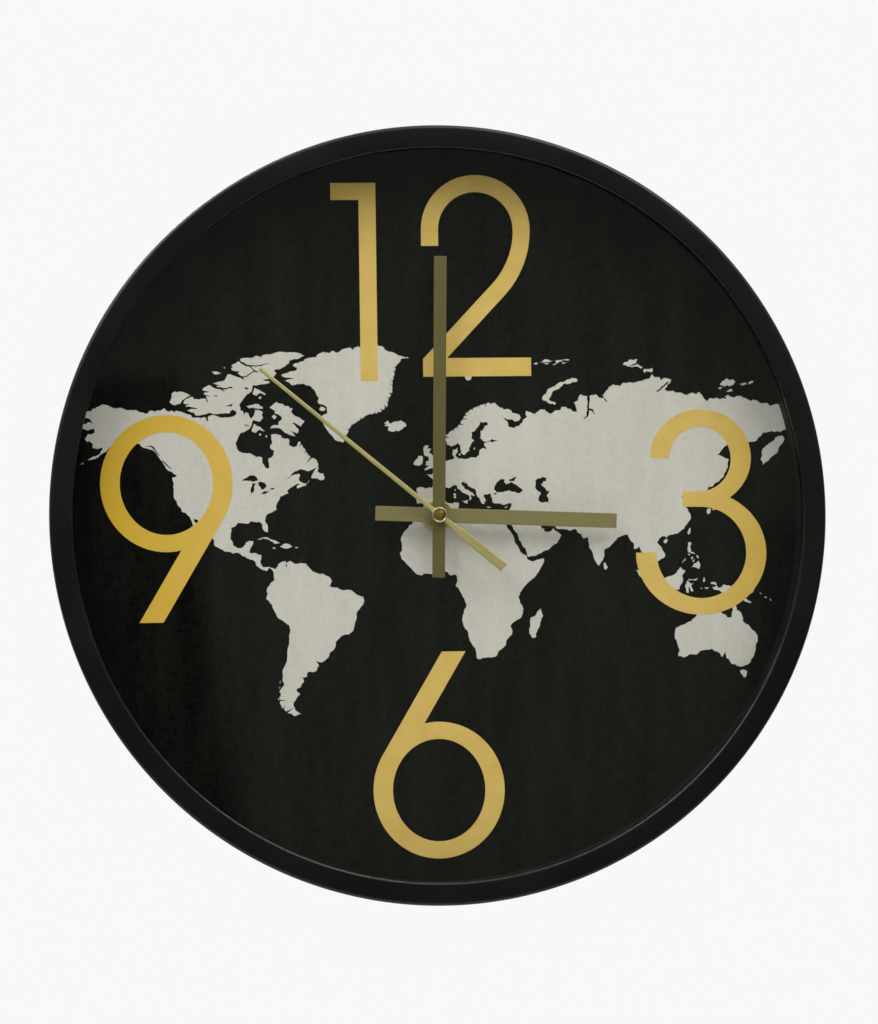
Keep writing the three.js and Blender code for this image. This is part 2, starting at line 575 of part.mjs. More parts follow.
function frontCaseGeometry() {
  const outer = roundedRectangle(-caseHalfWidth, caseHalfWidth, caseLower, caseUpper, CASE_CORNER);
  const floor = CASE_WALL / 2;
  const tray = cut(plate(outer, 0, caseEnd),
    block(-caseInside, caseInside, CASE_WALL, caseDepth, partitionTop, caseTop),
    block(-bayHalf, bayHalf, CASE_WALL, caseDepth, bayBottom, bayTop));
  const bearings = frontBearings.map(([axis, end]) => at(rod(bearingRadius, floor, end), axis));
  const sockets = frontBearings.map(([axis, end]) => at(
    rod(bearingBore, end - PIVOT_LENGTH - FIT_GAP, caseDepth), axis));
  const posts = [
    ...statorEnds.map((end) => at(rod(STATOR_ARM / 2, floor, statorFront - SEAT_GAP), end)),
    ...statorEnds.map((end) => at(rod(stakeRadius, floor, coreFront + CORE_THICKNESS), end)),
    ...middlePosts.map((post) => at(rod(MIDDLE_POST_DIAMETER / 2, floor, middleFront - SEAT_GAP), post)),
    ...middlePosts.map((post) => at(rod(stakeRadius, floor, middleBack), post)),
    ...boardPosts.map((post) => at(rod(BOARD_POST_DIAMETER / 2, floor, boardLayer - SEAT_GAP), post)),
    ...boardPosts.map((post) => at(rod(stakeRadius, floor, boardLayer + BOARD_THICKNESS), post)),
    at(rod(arborRadius, floor, motionLayer + WHEEL_THICKNESS + PINION_OVERHANG), motionAxis),
  ];
  const shaft = rod(bushRadius + PRESS_GAP, -CASE_WALL, hourLayer, TURNED_FACETS);
  return cut(join(tray, ...bearings, ...posts), ...sockets, shaft);
}
piece('movement_front_case', frontCaseGeometry(), CASE_PLASTIC, 0.55, 0, movement);

// Middle plate: carries the inner pivots, and the second pinion, rotor and knob shaft pass through it
function middlePlateGeometry() {
  const shape = roundedRectangle(-middleHalf, middleHalf, middleLower, middleUpper, MIDDLE_CORNER);
  shape.holes.push(
    circle(tipRadius(SECOND_LEAVES, THIRD_MODULE) + RUN_GAP, centreAxis, TURNED_FACETS),
    circle(statorHole, rotorAxis, TURNED_FACETS),
    circle(knobShaftRadius + RUN_GAP, settingAxis),
    circle(bearingBore, thirdAxis),
    circle(bearingBore, intermediateAxis),
    ...middlePosts.map((post) => circle(stakeHole, post)),
  );
  return plate(shape, middleFront, middleBack);
}
piece('middle_plate', middlePlateGeometry(), WHEEL_PLASTIC, 0.5, 0, movement);

// Rear cover: lid with the battery opening, the knob's hole, the rear pivots and the loop it hangs by
function rearCoverGeometry() {
  const lid = roundedRectangle(-caseHalfWidth, caseHalfWidth, caseLower, caseUpper, CASE_CORNER);
  lid.holes.push(circle(knobShaftRadius + RUN_GAP, settingAxis));
  const opening = [[-bayHalf, bayBottom], [bayHalf, bayBottom], [bayHalf, bayTop], [-bayHalf, bayTop]];
  lid.holes.push(new THREE.Path(opening.map(([x, z]) => new THREE.Vector2(x, z))));
  const foot = caseUpper - CASE_WALL;
  const tab = roundedRectangle(-LOOP_WIDTH / 2, LOOP_WIDTH / 2, foot - LOOP_CORNER, loopTop, LOOP_CORNER);
  const eyeHalf = LOOP_EYE_WIDTH / 2;
  const notchHalf = NAIL_NOTCH_WIDTH / 2;
  const eyeTop = caseUpper + LOOP_EYE_HEIGHT;
  const eye = new THREE.Shape([
    [-eyeHalf, caseUpper], [eyeHalf, caseUpper], [eyeHalf, eyeTop], [notchHalf, eyeTop],
    [notchHalf, notchTop], [-notchHalf, notchTop], [-notchHalf, eyeTop], [-eyeHalf, eyeTop],
  ].map(([x, z]) => new THREE.Vector2(x, z)));
  const bearings = rearBearings.map(([axis, end]) => at(
    rod(bearingRadius, end, coverFront + COVER_THICKNESS / 2), axis));
  const sockets = rearBearings.map(([axis, end]) => at(
    rod(axis === centreAxis ? secondRadius + FIT_GAP : bearingBore, 0, end + PIVOT_LENGTH + FIT_GAP), axis));
  const body = join(plate(lid, coverFront, caseDepth), plate(tab, coverFront, caseDepth), ...bearings);
  return cut(body, plate(eye, 0, caseDepth + COVER_THICKNESS), ...sockets);
}
piece('movement_rear_cover', rearCoverGeometry(), CASE_PLASTIC, 0.5, 0, movement);

// Bush: threaded tube through case, plate and dial, with a flange inside the case
const bushStart = bushFront - movementFront;
const flangeBack = CASE_WALL + SEAT_GAP + BUSH_FLANGE_THICKNESS;
piece('shaft_bush', turned([
  [bushBore, bushStart], [bushRadius, bushStart], [bushRadius, CASE_WALL + SEAT_GAP],
  [bushRadius + BUSH_FLANGE_WIDTH, CASE_WALL + SEAT_GAP], [bushRadius + BUSH_FLANGE_WIDTH, flangeBack],
  [bushBore, flangeBack], [bushBore, bushStart],
], TURNED_FACETS), BRASS, 0.35, 1, movement);

// Phases of the toothed parts, each set to mesh with the one before it
const thirdPhase = meshingPhase(CENTRE_TEETH, 0, centreAxis, THIRD_LEAVES, thirdAxis);
const secondPhase = meshingPhase(THIRD_TEETH, 0, thirdAxis, SECOND_LEAVES, centreAxis);
const intermediatePhase = meshingPhase(SECOND_TEETH, 0, centreAxis, INTERMEDIATE_LEAVES, intermediateAxis);
const rotorPhase = meshingPhase(INTERMEDIATE_TEETH, 0, intermediateAxis, ROTOR_LEAVES, rotorAxis);
const motionPhase = meshingPhase(CANNON_LEAVES, 0, centreAxis, MOTION_TEETH, motionAxis);
const hourPhase = meshingPhase(MOTION_LEAVES, 0, motionAxis, HOUR_TEETH, centreAxis);
const settingPhase = meshingPhase(MOTION_TEETH, motionPhase, motionAxis, SETTING_TEETH, settingAxis);

// Second hand's train: rotor, intermediate wheel and second wheel on its arbor
const rotorEnd = intermediateLayer + WHEEL_THICKNESS + PINION_OVERHANG;
const rotorArbor = ROTOR_ARBOR_DIAMETER / 2;
piece('rotor_pinion', at(join(
  pinion(ROTOR_LEAVES, ROTOR_MODULE, rotorPhase, pinionFront(intermediateLayer), rotorEnd),
  rod(rotorArbor, magnetFront - FIT_GAP, intermediateLayer),
  rod(pivotRadius, rotorBearing - PIVOT_LENGTH, trainEnd + PIVOT_LENGTH),
), rotorAxis), WHEEL_PLASTIC, 0.5, 0, movement);
piece('rotor_magnet', at(tube(rotorArbor + PRESS_GAP, magnetRadius, magnetFront, magnetFront + MAGNET_LENGTH,
  PIN_FACETS), rotorAxis), 0x4a4a4e, 0.5, 0.6, movement);

piece('intermediate_wheel', at(join(
  wheel(INTERMEDIATE_TEETH, ROTOR_MODULE, 0, intermediateLayer),
  pinion(INTERMEDIATE_LEAVES, SECOND_MODULE, intermediatePhase, pinionFront(secondLayer),
    intermediateLayer + WHEEL_THICKNESS / 2),
  rod(arborRadius, middleBack + FIT_GAP, trainEnd - FIT_GAP),
  rod(pivotRadius, middleBack - PIVOT_LENGTH, trainEnd + PIVOT_LENGTH),
), intermediateAxis), WHEEL_PLASTIC, 0.5, 0, movement);

piece('second_wheel', cut(join(
  wheel(SECOND_TEETH, SECOND_MODULE, 0, secondLayer),
  pinion(SECOND_LEAVES, THIRD_MODULE, secondPhase, pinionFront(thirdLayer),
    secondLayer + WHEEL_THICKNESS / 2),
), rod(secondRadius + PRESS_GAP, 0, caseDepth)), WHEEL_PLASTIC, 0.5, 0, movement);
piece('second_arbor', rod(secondRadius, secondHandFront - movementFront, trainEnd + PIVOT_LENGTH),
  STEEL, 0.25, 1, movement);

piece('third_wheel', at(join(
  wheel(THIRD_TEETH, THIRD_MODULE, 0, thirdLayer),
  pinion(THIRD_LEAVES, centreModule, thirdPhase, pinionFront(centreLayer), thirdLayer + WHEEL_THICKNESS / 2),
  rod(arborRadius, pivotEnd(centreLayer) + FIT_GAP, middleFront - FIT_GAP),
  rod(pivotRadius, pivotEnd(centreLayer) - PIVOT_LENGTH, middleFront + PIVOT_LENGTH),
), thirdAxis), WHEEL_PLASTIC, 0.5, 0, movement);

// Hand-setting train: centre wheel slips on the minute arbor, whose cannon pinion drives the motion wheel
piece('centre_wheel', cut(wheel(CENTRE_TEETH, centreModule, 0, centreLayer),
  rod(minuteRadius + FIT_GAP, 0, caseDepth, TURNED_FACETS)), WHEEL_PLASTIC, 0.5, 0, movement);
piece('minute_arbor', cut(join(
  rod(minuteRadius, minuteTubeFront - movementFront, pinionFront(thirdLayer) - FIT_GAP, TURNED_FACETS),
  pinion(CANNON_LEAVES, MOTION_MODULE, 0, pinionFront(motionLayer), centreLayer - FIT_GAP),
), rod(minuteBore, capFront - movementFront, caseDepth)), BRASS, 0.3, 1, movement);
piece('motion_wheel', at(cut(join(
  wheel(MOTION_TEETH, MOTION_MODULE, motionPhase, motionLayer),
  pinion(MOTION_LEAVES, hourModule, 0, pinionFront(hourLayer), motionLayer + WHEEL_THICKNESS / 2),
), rod(arborRadius + FIT_GAP, 0, caseDepth)), motionAxis), WHEEL_PLASTIC, 0.5, 0, movement);
piece('hour_wheel', cut(join(
  wheel(HOUR_TEETH, hourModule, hourPhase, hourLayer),
  rod(hourRadius, hourTubeFront - movementFront, hourLayer + WHEEL_THICKNESS, TURNED_FACETS),
), rod(hourBore, capFront - movementFront, caseDepth, TURNED_FACETS)), WHEEL_PLASTIC, 0.5, 0, movement);

piece('setting_wheel', at(cut(wheel(SETTING_TEETH, MOTION_MODULE, settingPhase, motionLayer),
  rod(knobShaftRadius + PRESS_GAP, 0, caseDepth)), settingAxis), WHEEL_PLASTIC, 0.5, 0, movement);
const knobFront = caseDepth + RUN_GAP;
const ridgeModule = KNOB_DIAMETER / (KNOB_RIDGES + 2);
const knobRidge = [[1 - KNOB_RIDGE_DEPTH / ridgeModule, RIDGE_ROOT_SHARE], [1, RIDGE_TIP_SHARE]];
piece('setting_knob', at(join(
  plate(toothedShape(KNOB_RIDGES, ridgeModule, knobRidge, 0), knobFront, knobFront + KNOB_HEIGHT),
  rod(knobShaftRadius, CASE_WALL + FIT_GAP, knobFront + KNOB_HEIGHT / 2),
), settingAxis), CASE_PLASTIC, 0.5, 0, movement);

// Stepping motor: stator plate round the magnet, and the coil on a core staked to the stator's arms
function statorGeometry() {
  const left = rotorAxis.x - coilHalf;
  const right = rotorAxis.x + coilHalf;
  const neckTop = rotorAxis.y + statorHole + STATOR_NECK;
  const armTop = coilHeight + STATOR_ARM / 2;
  const outline = [
    [left, statorFoot], [right, statorFoot], [right, armTop], [right - STATOR_ARM, armTop],
    [right - STATOR_ARM, neckTop], [left + STATOR_ARM, neckTop], [left + STATOR_ARM, armTop], [left, armTop],
  ];
  const shape = new THREE.Shape(outline.map(([x, z]) => new THREE.Vector2(x, z)));
  shape.holes.push(circle(statorHole, rotorAxis, TURNED_FACETS));
  shape.holes.push(...statorEnds.map((end) => circle(stakeHole, end)));
  return plate(shape, statorFront, statorFront + STATOR_THICKNESS);
}
piece('stator', statorGeometry(), STEEL, 0.4, 1, movement);

const coreShape = roundedRectangle(rotorAxis.x - coilHalf, rotorAxis.x + coilHalf,
  coilHeight - CORE_WIDTH / 2, coilHeight + CORE_WIDTH / 2, CORE_CORNER);
coreShape.holes.push(...statorEnds.map((end) => circle(stakeHole, end)));
piece('coil_core', plate(coreShape, coreFront, coreFront + CORE_THICKNESS),
  STEEL, 0.4, 1, movement);

// Coil parts are turned about Y and laid along X, through the middle of the core
const alongX = (geometry) => geometry.rotateZ(-Math.PI / 2).translate(rotorAxis.x, coilDepth, coilHeight);
const spoolRadius = CORE_WIDTH / 2 + BOBBIN_WALL;
const bobbinHalf = BOBBIN_LENGTH / 2;
const flangeInside = bobbinHalf - BOBBIN_FLANGE;
const spool = turned([
  [0, -bobbinHalf], [coilRadius, -bobbinHalf], [coilRadius, -flangeInside], [spoolRadius, -flangeInside],
  [spoolRadius, flangeInside], [coilRadius, flangeInside], [coilRadius, bobbinHalf], [0, bobbinHalf],
], TURNED_FACETS);
const slot = block(rotorAxis.x - coilHalf, rotorAxis.x + coilHalf, coreFront - FIT_GAP,
  coreFront + CORE_THICKNESS + FIT_GAP, coilHeight - CORE_WIDTH / 2 - FIT_GAP,
  coilHeight + CORE_WIDTH / 2 + FIT_GAP);
piece('coil_bobbin', cut(alongX(spool), slot), 0xd8d2c0, 0.5, 0, movement);
piece('coil_winding', alongX(tube(spoolRadius + PRESS_GAP, spoolRadius + WINDING_THICKNESS,
  PRESS_GAP - flangeInside, flangeInside - PRESS_GAP)), 0xb4623a, 0.4, 0.7, movement);

// Circuit board on two stakes, with the driver under its drop of resin and the crystal can
const boardShape = roundedRectangle(boardLeft, boardLeft + BOARD_WIDTH, boardBottom,
  boardBottom + BOARD_HEIGHT, BOARD_CORNER);
boardShape.holes.push(...boardPosts.map((post) => circle(stakeHole, post)));
const boardBack = boardLayer + BOARD_THICKNESS;
piece('circuit_board', plate(boardShape, boardLayer, boardBack), 0x2f6b3c, 0.5, 0, movement);
const chipPlace = new THREE.Vector2(boardLeft + CHIP_PLACE, boardBottom + BOARD_HEIGHT / 2);
const chipRadius = CHIP_DIAMETER / 2;
const chipBack = boardBack + SEAT_GAP + CHIP_HEIGHT;
piece('driver_chip', at(turned([[0, boardBack + SEAT_GAP], [chipRadius, boardBack + SEAT_GAP],
  [CHIP_CROWN_DIAMETER / 2, chipBack - CHIP_CROWN_HEIGHT], [0, chipBack]], PIN_FACETS), chipPlace),
0x101012, 0.4, 0, movement);
const crystalRadius = CRYSTAL_DIAMETER / 2;
const crystalEnd = boardLeft + BOARD_WIDTH - BOARD_POST_INSET;
piece('quartz_crystal', rod(crystalRadius, 0, CRYSTAL_LENGTH).rotateZ(Math.PI / 2)
  .translate(crystalEnd, boardBack + SEAT_GAP + crystalRadius, chipPlace.y), STEEL, 0.25, 1, movement);

// Battery along X with its nub to the right, between two bent strip contacts
const cellRadius = BATTERY_DIAMETER / 2;
const cellHalf = BATTERY_LENGTH / 2;
const cellShoulder = cellHalf - NUB_HEIGHT;
const cell = turned([
  [0, -cellHalf], [cellRadius - BATTERY_EDGE, -cellHalf], [cellRadius, BATTERY_EDGE - cellHalf],
  [cellRadius, cellShoulder - BATTERY_EDGE], [cellRadius - BATTERY_EDGE, cellShoulder],
  [NUB_DIAMETER / 2, cellShoulder], [NUB_DIAMETER / 2, cellHalf], [0, cellHalf],
], TURNED_FACETS);
const cellDepth = CASE_WALL + RUN_GAP + cellRadius;
piece('battery', cell.rotateZ(-Math.PI / 2).translate(0, cellDepth, batteryHeight),
  0x2c3a52, 0.4, 0.3, movement);

function contactGeometry(side) {
  const foot = bayHalf - SEAT_GAP;
  const crest = cellHalf + FIT_GAP + CONTACT_THICKNESS;
  const end = CONTACT_HEIGHT / 2;
  const bend = end - CONTACT_FOOT;
  const outside = [[foot, -end], [foot, -bend], [crest, 0], [foot, bend], [foot, end]];
  const inside = outside.map(([x, z]) => [x - CONTACT_THICKNESS, z]).reverse();
  const strip = [...outside, ...inside].map(([x, z]) => new THREE.Vector2(
    side * x, batteryHeight + z));
  return plate(new THREE.Shape(strip), cellDepth - CONTACT_DEPTH / 2, cellDepth + CONTACT_DEPTH / 2);
}
piece('positive_contact', contactGeometry(1), STEEL, 0.3, 1, movement);
piece('negative_contact', contactGeometry(-1), STEEL, 0.3, 1, movement);

export default clock;
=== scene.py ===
"""World map wall clock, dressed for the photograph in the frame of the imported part."""
import math
import random

import bpy
from mathutils import Matrix, Vector
from mathutils.geometry import intersect_line_line_2d


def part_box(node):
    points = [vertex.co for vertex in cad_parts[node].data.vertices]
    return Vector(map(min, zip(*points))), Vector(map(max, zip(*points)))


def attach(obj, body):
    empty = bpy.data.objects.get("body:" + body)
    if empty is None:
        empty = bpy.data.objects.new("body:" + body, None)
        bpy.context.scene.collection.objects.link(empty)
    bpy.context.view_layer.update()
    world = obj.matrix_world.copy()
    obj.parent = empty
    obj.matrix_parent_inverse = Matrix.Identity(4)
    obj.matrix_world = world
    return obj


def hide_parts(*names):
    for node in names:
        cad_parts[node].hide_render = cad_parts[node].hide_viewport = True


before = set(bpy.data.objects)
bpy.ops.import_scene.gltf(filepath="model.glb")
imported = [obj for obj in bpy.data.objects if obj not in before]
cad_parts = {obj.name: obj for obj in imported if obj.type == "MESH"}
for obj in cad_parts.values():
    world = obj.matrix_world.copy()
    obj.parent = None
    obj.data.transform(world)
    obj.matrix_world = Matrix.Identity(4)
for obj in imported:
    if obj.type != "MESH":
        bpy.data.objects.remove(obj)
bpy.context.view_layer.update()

# Camera: a long lens, a little left of the clock and just below its middle.
# Eye, aim and lens were found from the rim, the numerals and the hands in the photograph.
EYE = Vector((-0.18203, -1.73068, -0.05340))
AIM = Vector((-0.00092, -0.04130, 0.000885))
LENS_LENGTH = 155.75
SENSOR_WIDTH = 36
FAR_CLIP = 30
bpy.ops.object.camera_add(location=EYE, rotation=(AIM - EYE).to_track_quat("-Z", "Y").to_euler())
camera = bpy.context.object
camera.name = "camera"
camera.data.lens = LENS_LENGTH
camera.data.sensor_width = SENSOR_WIDTH
camera.data.clip_end = FAR_CLIP
bpy.context.scene.camera = camera
bpy.context.scene.view_settings.view_transform = "Standard"

# Stage: an even pale backdrop that the camera sees, two large soft lamps above the front and one
# behind, even light from all round, and a pale floor well below the clock. The side that the camera
# stands on is dim, so that black plastic and the glass stay dark, with a faint veil in the glass.
BACKDROP = 0.9387
AMBIENT = 0.33
DIM_ROOM = 0.012
ROOM_RISE = (-0.10, 0.35)
VEIL = (0.077, 0.083, 0.068)
VEIL_LEAN = 0.14
VEIL_LEFT = (0.052, 0.062)
VEIL_TOP = (0.0575, 0.0665)
VEIL_RIGHT = (0.171, 0.178)
VEIL_LOWER = (0.034, 0.026)
VEIL_AHEAD = (-0.85, -0.95)
LAMP_AIM = Vector((0, -0.03, 0))
FLOOR_SIZE = 1.6
FLOOR_PLACE = (0, 0.15, -0.62)


def softbox(name, place, size, power):
    """A square lamp that faces the middle of the clock."""
    turn = (LAMP_AIM - Vector(place)).to_track_quat("-Z", "Y").to_euler()
    bpy.ops.object.light_add(type="AREA", location=place, rotation=turn)
    lamp = bpy.context.object
    lamp.name = name
    lamp.data.size = size
    lamp.data.energy = power


def feed(tree, node, inputs):
    """Gives inputs of a node their values, or links them to sockets."""
    for name, value in inputs.items():
        if isinstance(value, bpy.types.NodeSocket):
            tree.links.new(value, node.inputs[name])
        else:
            node.inputs[name].default_value = value


def add_node(tree, kind, inputs=None, **settings):
    """Adds a node with its settings and what its inputs are fed with."""
    made = tree.nodes.new(kind)
    for name, value in settings.items():
        setattr(made, name, value)
    feed(tree, made, inputs or {})
    return made


def reckon(tree, operation, *values):
    """One step of arithmetic on numbers or sockets."""
    return add_node(tree, "ShaderNodeMath", dict(enumerate(values)), operation=operation).outputs[0]


def ramp(tree, value, first, last, low=0.0, high=1.0, easing="LINEAR"):
    """Goes from low to high while a value goes from first to last."""
    inputs = {"Value": value, "From Min": first, "From Max": last, "To Min": low, "To Max": high}
    return add_node(tree, "ShaderNodeMapRange", inputs, interpolation_type=easing).outputs[0]


def blend(tree, share, first, second):
    """Mixes two colours by a share."""
    return add_node(tree, "ShaderNodeMix", {0: share, 6: first, 7: second}, data_type="RGBA").outputs[2]


softbox("lamp_left", (-0.80, -0.55, 1.05), size=0.95, power=15.6)
softbox("lamp_right", (0.55, -0.55, 1.15), size=0.95, power=15.6)
softbox("lamp_back", (-0.55, 0.80, 0.95), size=0.60, power=16.0)

world = bpy.data.worlds.new("studio")
bpy.context.scene.world = world
world.use_nodes = True
world.cycles.sampling_method = "NONE"
tree = world.node_tree
tree.nodes.clear()
ray = add_node(tree, "ShaderNodeLightPath").outputs
heading = add_node(tree, "ShaderNodeTexCoord").outputs["Generated"]
toward = add_node(tree, "ShaderNodeSeparateXYZ", {0: heading}).outputs
behind = ramp(tree, toward["Y"], *ROOM_RISE, low=DIM_ROOM, high=BACKDROP, easing="SMOOTHSTEP")
slope = reckon(tree, "MULTIPLY_ADD", toward["Z"], VEIL_LEAN, toward["X"])
left = ramp(tree, slope, *VEIL_LEFT, easing="SMOOTHSTEP")
top = ramp(tree, toward["Z"], *VEIL_TOP, easing="SMOOTHSTEP")
right = ramp(tree, toward["X"], *VEIL_RIGHT, easing="SMOOTHSTEP")
lower = ramp(tree, toward["Z"], *VEIL_LOWER, easing="SMOOTHSTEP")
lower_right = reckon(tree, "MULTIPLY", right, lower)
half_there = reckon(tree, "MULTIPLY_ADD", lower_right, -0.5, 1.0)
ahead = ramp(tree, toward["Y"], *VEIL_AHEAD)
veil = reckon(tree, "MAXIMUM", left, top)
for share in (half_there, ahead):
    veil = reckon(tree, "MULTIPLY", veil, share)
room = add_node(tree, "ShaderNodeVectorMath", {0: veil, 1: VEIL, 2: behind}, operation="MULTIPLY_ADD")
even = blend(tree, ray["Is Diffuse Ray"], room.outputs[0], [AMBIENT] * 3 + [1])
seen = blend(tree, ray["Is Camera Ray"], even, [BACKDROP] * 3 + [1])
light = add_node(tree, "ShaderNodeBackground", {"Color": seen, "Strength": 1.0})
add_node(tree, "ShaderNodeOutputWorld", {"Surface": light.outputs[0]})


def tint(red, green, blue):
    """A colour as a picture shows it, from 0 to 255, as the light values that a shader takes."""
    shares = [value / 255 for value in (red, green, blue)]
    return [s / 12.92 if s <= 0.04045 else ((s + 0.055) / 1.055) ** 2.4 for s in shares] + [1.0]


def new_material(name):
    """A material with one Principled shader, as (material, its node tree, the shader)."""
    material = bpy.data.materials.new(name)
    material.use_nodes = True
    return material, material.node_tree, material.node_tree.nodes["Principled BSDF"]


bpy.ops.mesh.primitive_plane_add(size=FLOOR_SIZE, location=FLOOR_PLACE)
floor = bpy.context.object
floor.name = "floor"
floor_paint, tree, shader = new_material("pale floor")
feed(tree, shader, {"Base Color": tint(222, 222, 222), "Roughness": 0.8})
floor.data.materials.append(floor_paint)

# Frame: one injection-moulded ring of satin black plastic: a flat front rim with rounded edges,
# a slightly tapered skirt back to the wall, a ledge for the glass and six bosses for the screws.
RIM_OPENING = 0.1412
LENS_SEAT = 0.1430
INNER_ROUND = 0.0010
OUTER_ROUND = 0.0016
SKIRT_WALL = 0.0018
REAR_TAPER = 0.0012
RIM_THICKNESS = 0.0030
REAR_EDGE = 0.0004
BOSS_COUNT = 6
BOSS_RADIUS = 0.0027
BOSS_ROOT = 0.0002
BOSS_GAP = 0.0001
BOSS_BORE = 0.00116
BORE_FLOOR = 0.0010
CUT_PAST = 0.0010
MERGE_DISTANCE = 1e-6
DUST_TINT = (150, 150, 144)
low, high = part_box("bezel_frame")
rim_front = low.y
frame_radius = high.x
lens_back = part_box("lens")[1].y
plate_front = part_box("back_plate")[0].y


def arc(centre, radius, first, last, steps):
    """Points on a round, from one angle to another in degrees."""
    angles = [math.radians(first + (last - first) * i / steps) for i in range(steps + 1)]
    return [(centre[0] + radius * math.cos(a), centre[1] + radius * math.sin(a)) for a in angles]


def only(piece):
    """Makes this piece the one that is selected and worked on."""
    bpy.ops.object.select_all(action="DESELECT")
    piece.select_set(True)
    bpy.context.view_layer.objects.active = piece


def settle(piece):
    """Puts a piece's place, turn and size into its mesh."""
    only(piece)
    bpy.ops.object.transform_apply(location=True, rotation=True, scale=True)


def spin_profile(name, profile, steps):
    """Lays a loop of vertices on a closed profile of (radius, depth) and spins it about the hands' axis."""
    bpy.ops.object.select_all(action="DESELECT")
    bpy.ops.mesh.primitive_circle_add(vertices=len(profile))
    piece = bpy.context.object
    piece.name = name
    for vertex, (radius, depth) in zip(piece.data.vertices, profile):
        vertex.co = (radius, depth, 0)
    bpy.ops.object.mode_set(mode="EDIT")
    bpy.ops.mesh.select_all(action="SELECT")
    bpy.ops.mesh.spin(steps=steps, angle=math.tau, center=(0, 0, 0), axis=(0, 1, 0))
    bpy.ops.mesh.select_all(action="SELECT")
    bpy.ops.mesh.remove_doubles(threshold=MERGE_DISTANCE)
    bpy.ops.mesh.delete_loose()
    bpy.ops.mesh.select_all(action="SELECT")
    bpy.ops.mesh.normals_make_consistent(inside=False)
    bpy.ops.object.mode_set(mode="OBJECT")
    return piece


def rod(name, radius, front, back, x=0.0, z=0.0, vertices=64):
    """A round bar along the hands' axis, between two depths."""
    bpy.ops.object.select_all(action="DESELECT")
    bpy.ops.mesh.primitive_cylinder_add(
        vertices=vertices, radius=radius, depth=back - front,
        location=(x, (front + back) / 2, z), rotation=(math.pi / 2, 0, 0))
    piece = bpy.context.object
    piece.name = name
    settle(piece)
    return piece


def combine(piece, other, operation):
    """Joins another piece to this one, or cuts it out of this one, and takes the other away."""
    only(piece)
    boolean = piece.modifiers.new("combine", "BOOLEAN")
    boolean.operation = operation
    boolean.object = other
    bpy.ops.object.modifier_apply(modifier=boolean.name)
    bpy.data.objects.remove(other)


def sink(piece, radius, floor, back, x=0.0, z=0.0, vertices=64):
    """Cuts a round hole into a piece from behind, down to a depth."""
    combine(piece, rod("drill", radius, floor, back + CUT_PAST, x, z, vertices), "DIFFERENCE")


def smooth(piece, angle=30):
    """Shades a piece smooth, but for the edges that are sharper than the angle."""
    only(piece)
    bpy.ops.object.shade_smooth_by_angle(angle=math.radians(angle))


def dress(piece, material, body, slot, *nodes):
    """Gives a finished piece its material, its body and the solids that it stands for. The slot is not
    used.
    """
    piece.data.materials.clear()
    piece.data.materials.append(material)
    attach(piece, body)
    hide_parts(*nodes)


def new_group(name, takes, gives):
    """A shader node group with named sockets, as (group, the sockets that it takes)."""
    group = bpy.data.node_groups.new(name, "ShaderNodeTree")
    for side, sockets in (("INPUT", takes), ("OUTPUT", gives)):
        for socket, kind in sockets.items():
            group.interface.new_socket(name=socket, in_out=side, socket_type="NodeSocket" + kind)
    return group, add_node(group, "NodeGroupInput").outputs


def noise(tree, place, scale, detail, roughness=0.5):
    """A cloudy pattern over a place."""
    return add_node(tree, "ShaderNodeTexNoise", {
        "Vector": place, "Scale": scale, "Detail": detail, "Roughness": roughness}).outputs[0]


def specks(tree, place, scale, size, rarity):
    """A few scattered specks: 1 on a speck and 0 beside it."""
    dots = add_node(tree, "ShaderNodeTexVoronoi", {"Vector": place, "Scale": scale}).outputs
    small = reckon(tree, "LESS_THAN", dots["Distance"], size)
    few = reckon(tree, "GREATER_THAN", dots["Color"], rarity)
    return reckon(tree, "MULTIPLY", small, few)


def grain_group():
    """Moulded surfaces: slow changes of tone and gloss, a fine spark-eroded grain and a little dust."""
    group, given = new_group("moulded grain", {
        "Scale": "Float", "Dark": "Color", "Light": "Color", "Smooth": "Float", "Rough": "Float",
        "Dust": "Float"}, {"Color": "Color", "Roughness": "Float", "Height": "Float"})
    place = add_node(group, "ShaderNodeTexCoord").outputs["Object"]
    grain = noise(group, place, given["Scale"], detail=3.0)
    cloud = noise(group, place, scale=28.0, detail=4.0)
    tone = ramp(group, cloud, 0.3, 0.7, easing="SMOOTHSTEP")
    colour = blend(group, tone, given["Dark"], given["Light"])
    motes = specks(group, place, scale=240.0, size=0.08, rarity=0.6)
    dust = reckon(group, "MULTIPLY", motes, given["Dust"])
    dusty = blend(group, dust, colour, tint(*DUST_TINT))
    fine = reckon(group, "MULTIPLY", grain, 0.6)
    uneven = reckon(group, "MULTIPLY_ADD", tone, 0.4, fine)
    gloss = ramp(group, uneven, 0.1, 0.9, given["Smooth"], given["Rough"])
    add_node(group, "NodeGroupOutput", {"Color": dusty, "Roughness": gloss, "Height": grain})
    return group


moulded_grain = grain_group()


def moulded(name, dark, light, gloss, scale=900.0, depth=0.00002, shine=0.5, dust=0.0):
    """A moulded plastic between two tints and two roughnesses: the grain group with its own values."""
    material, tree, shader = new_material(name)
    grain = add_node(tree, "ShaderNodeGroup", {
        "Scale": scale, "Dark": tint(*dark), "Light": tint(*light), "Smooth": gloss[0],
        "Rough": gloss[1], "Dust": dust}, node_tree=moulded_grain).outputs
    bump = add_node(tree, "ShaderNodeBump", {"Height": grain["Height"], "Strength": 1.0, "Distance": depth})
    feed(tree, shader, {
        "Base Color": grain["Color"], "Roughness": grain["Roughness"], "Normal": bump.outputs[0],
        "Specular IOR Level": shine})
    return material


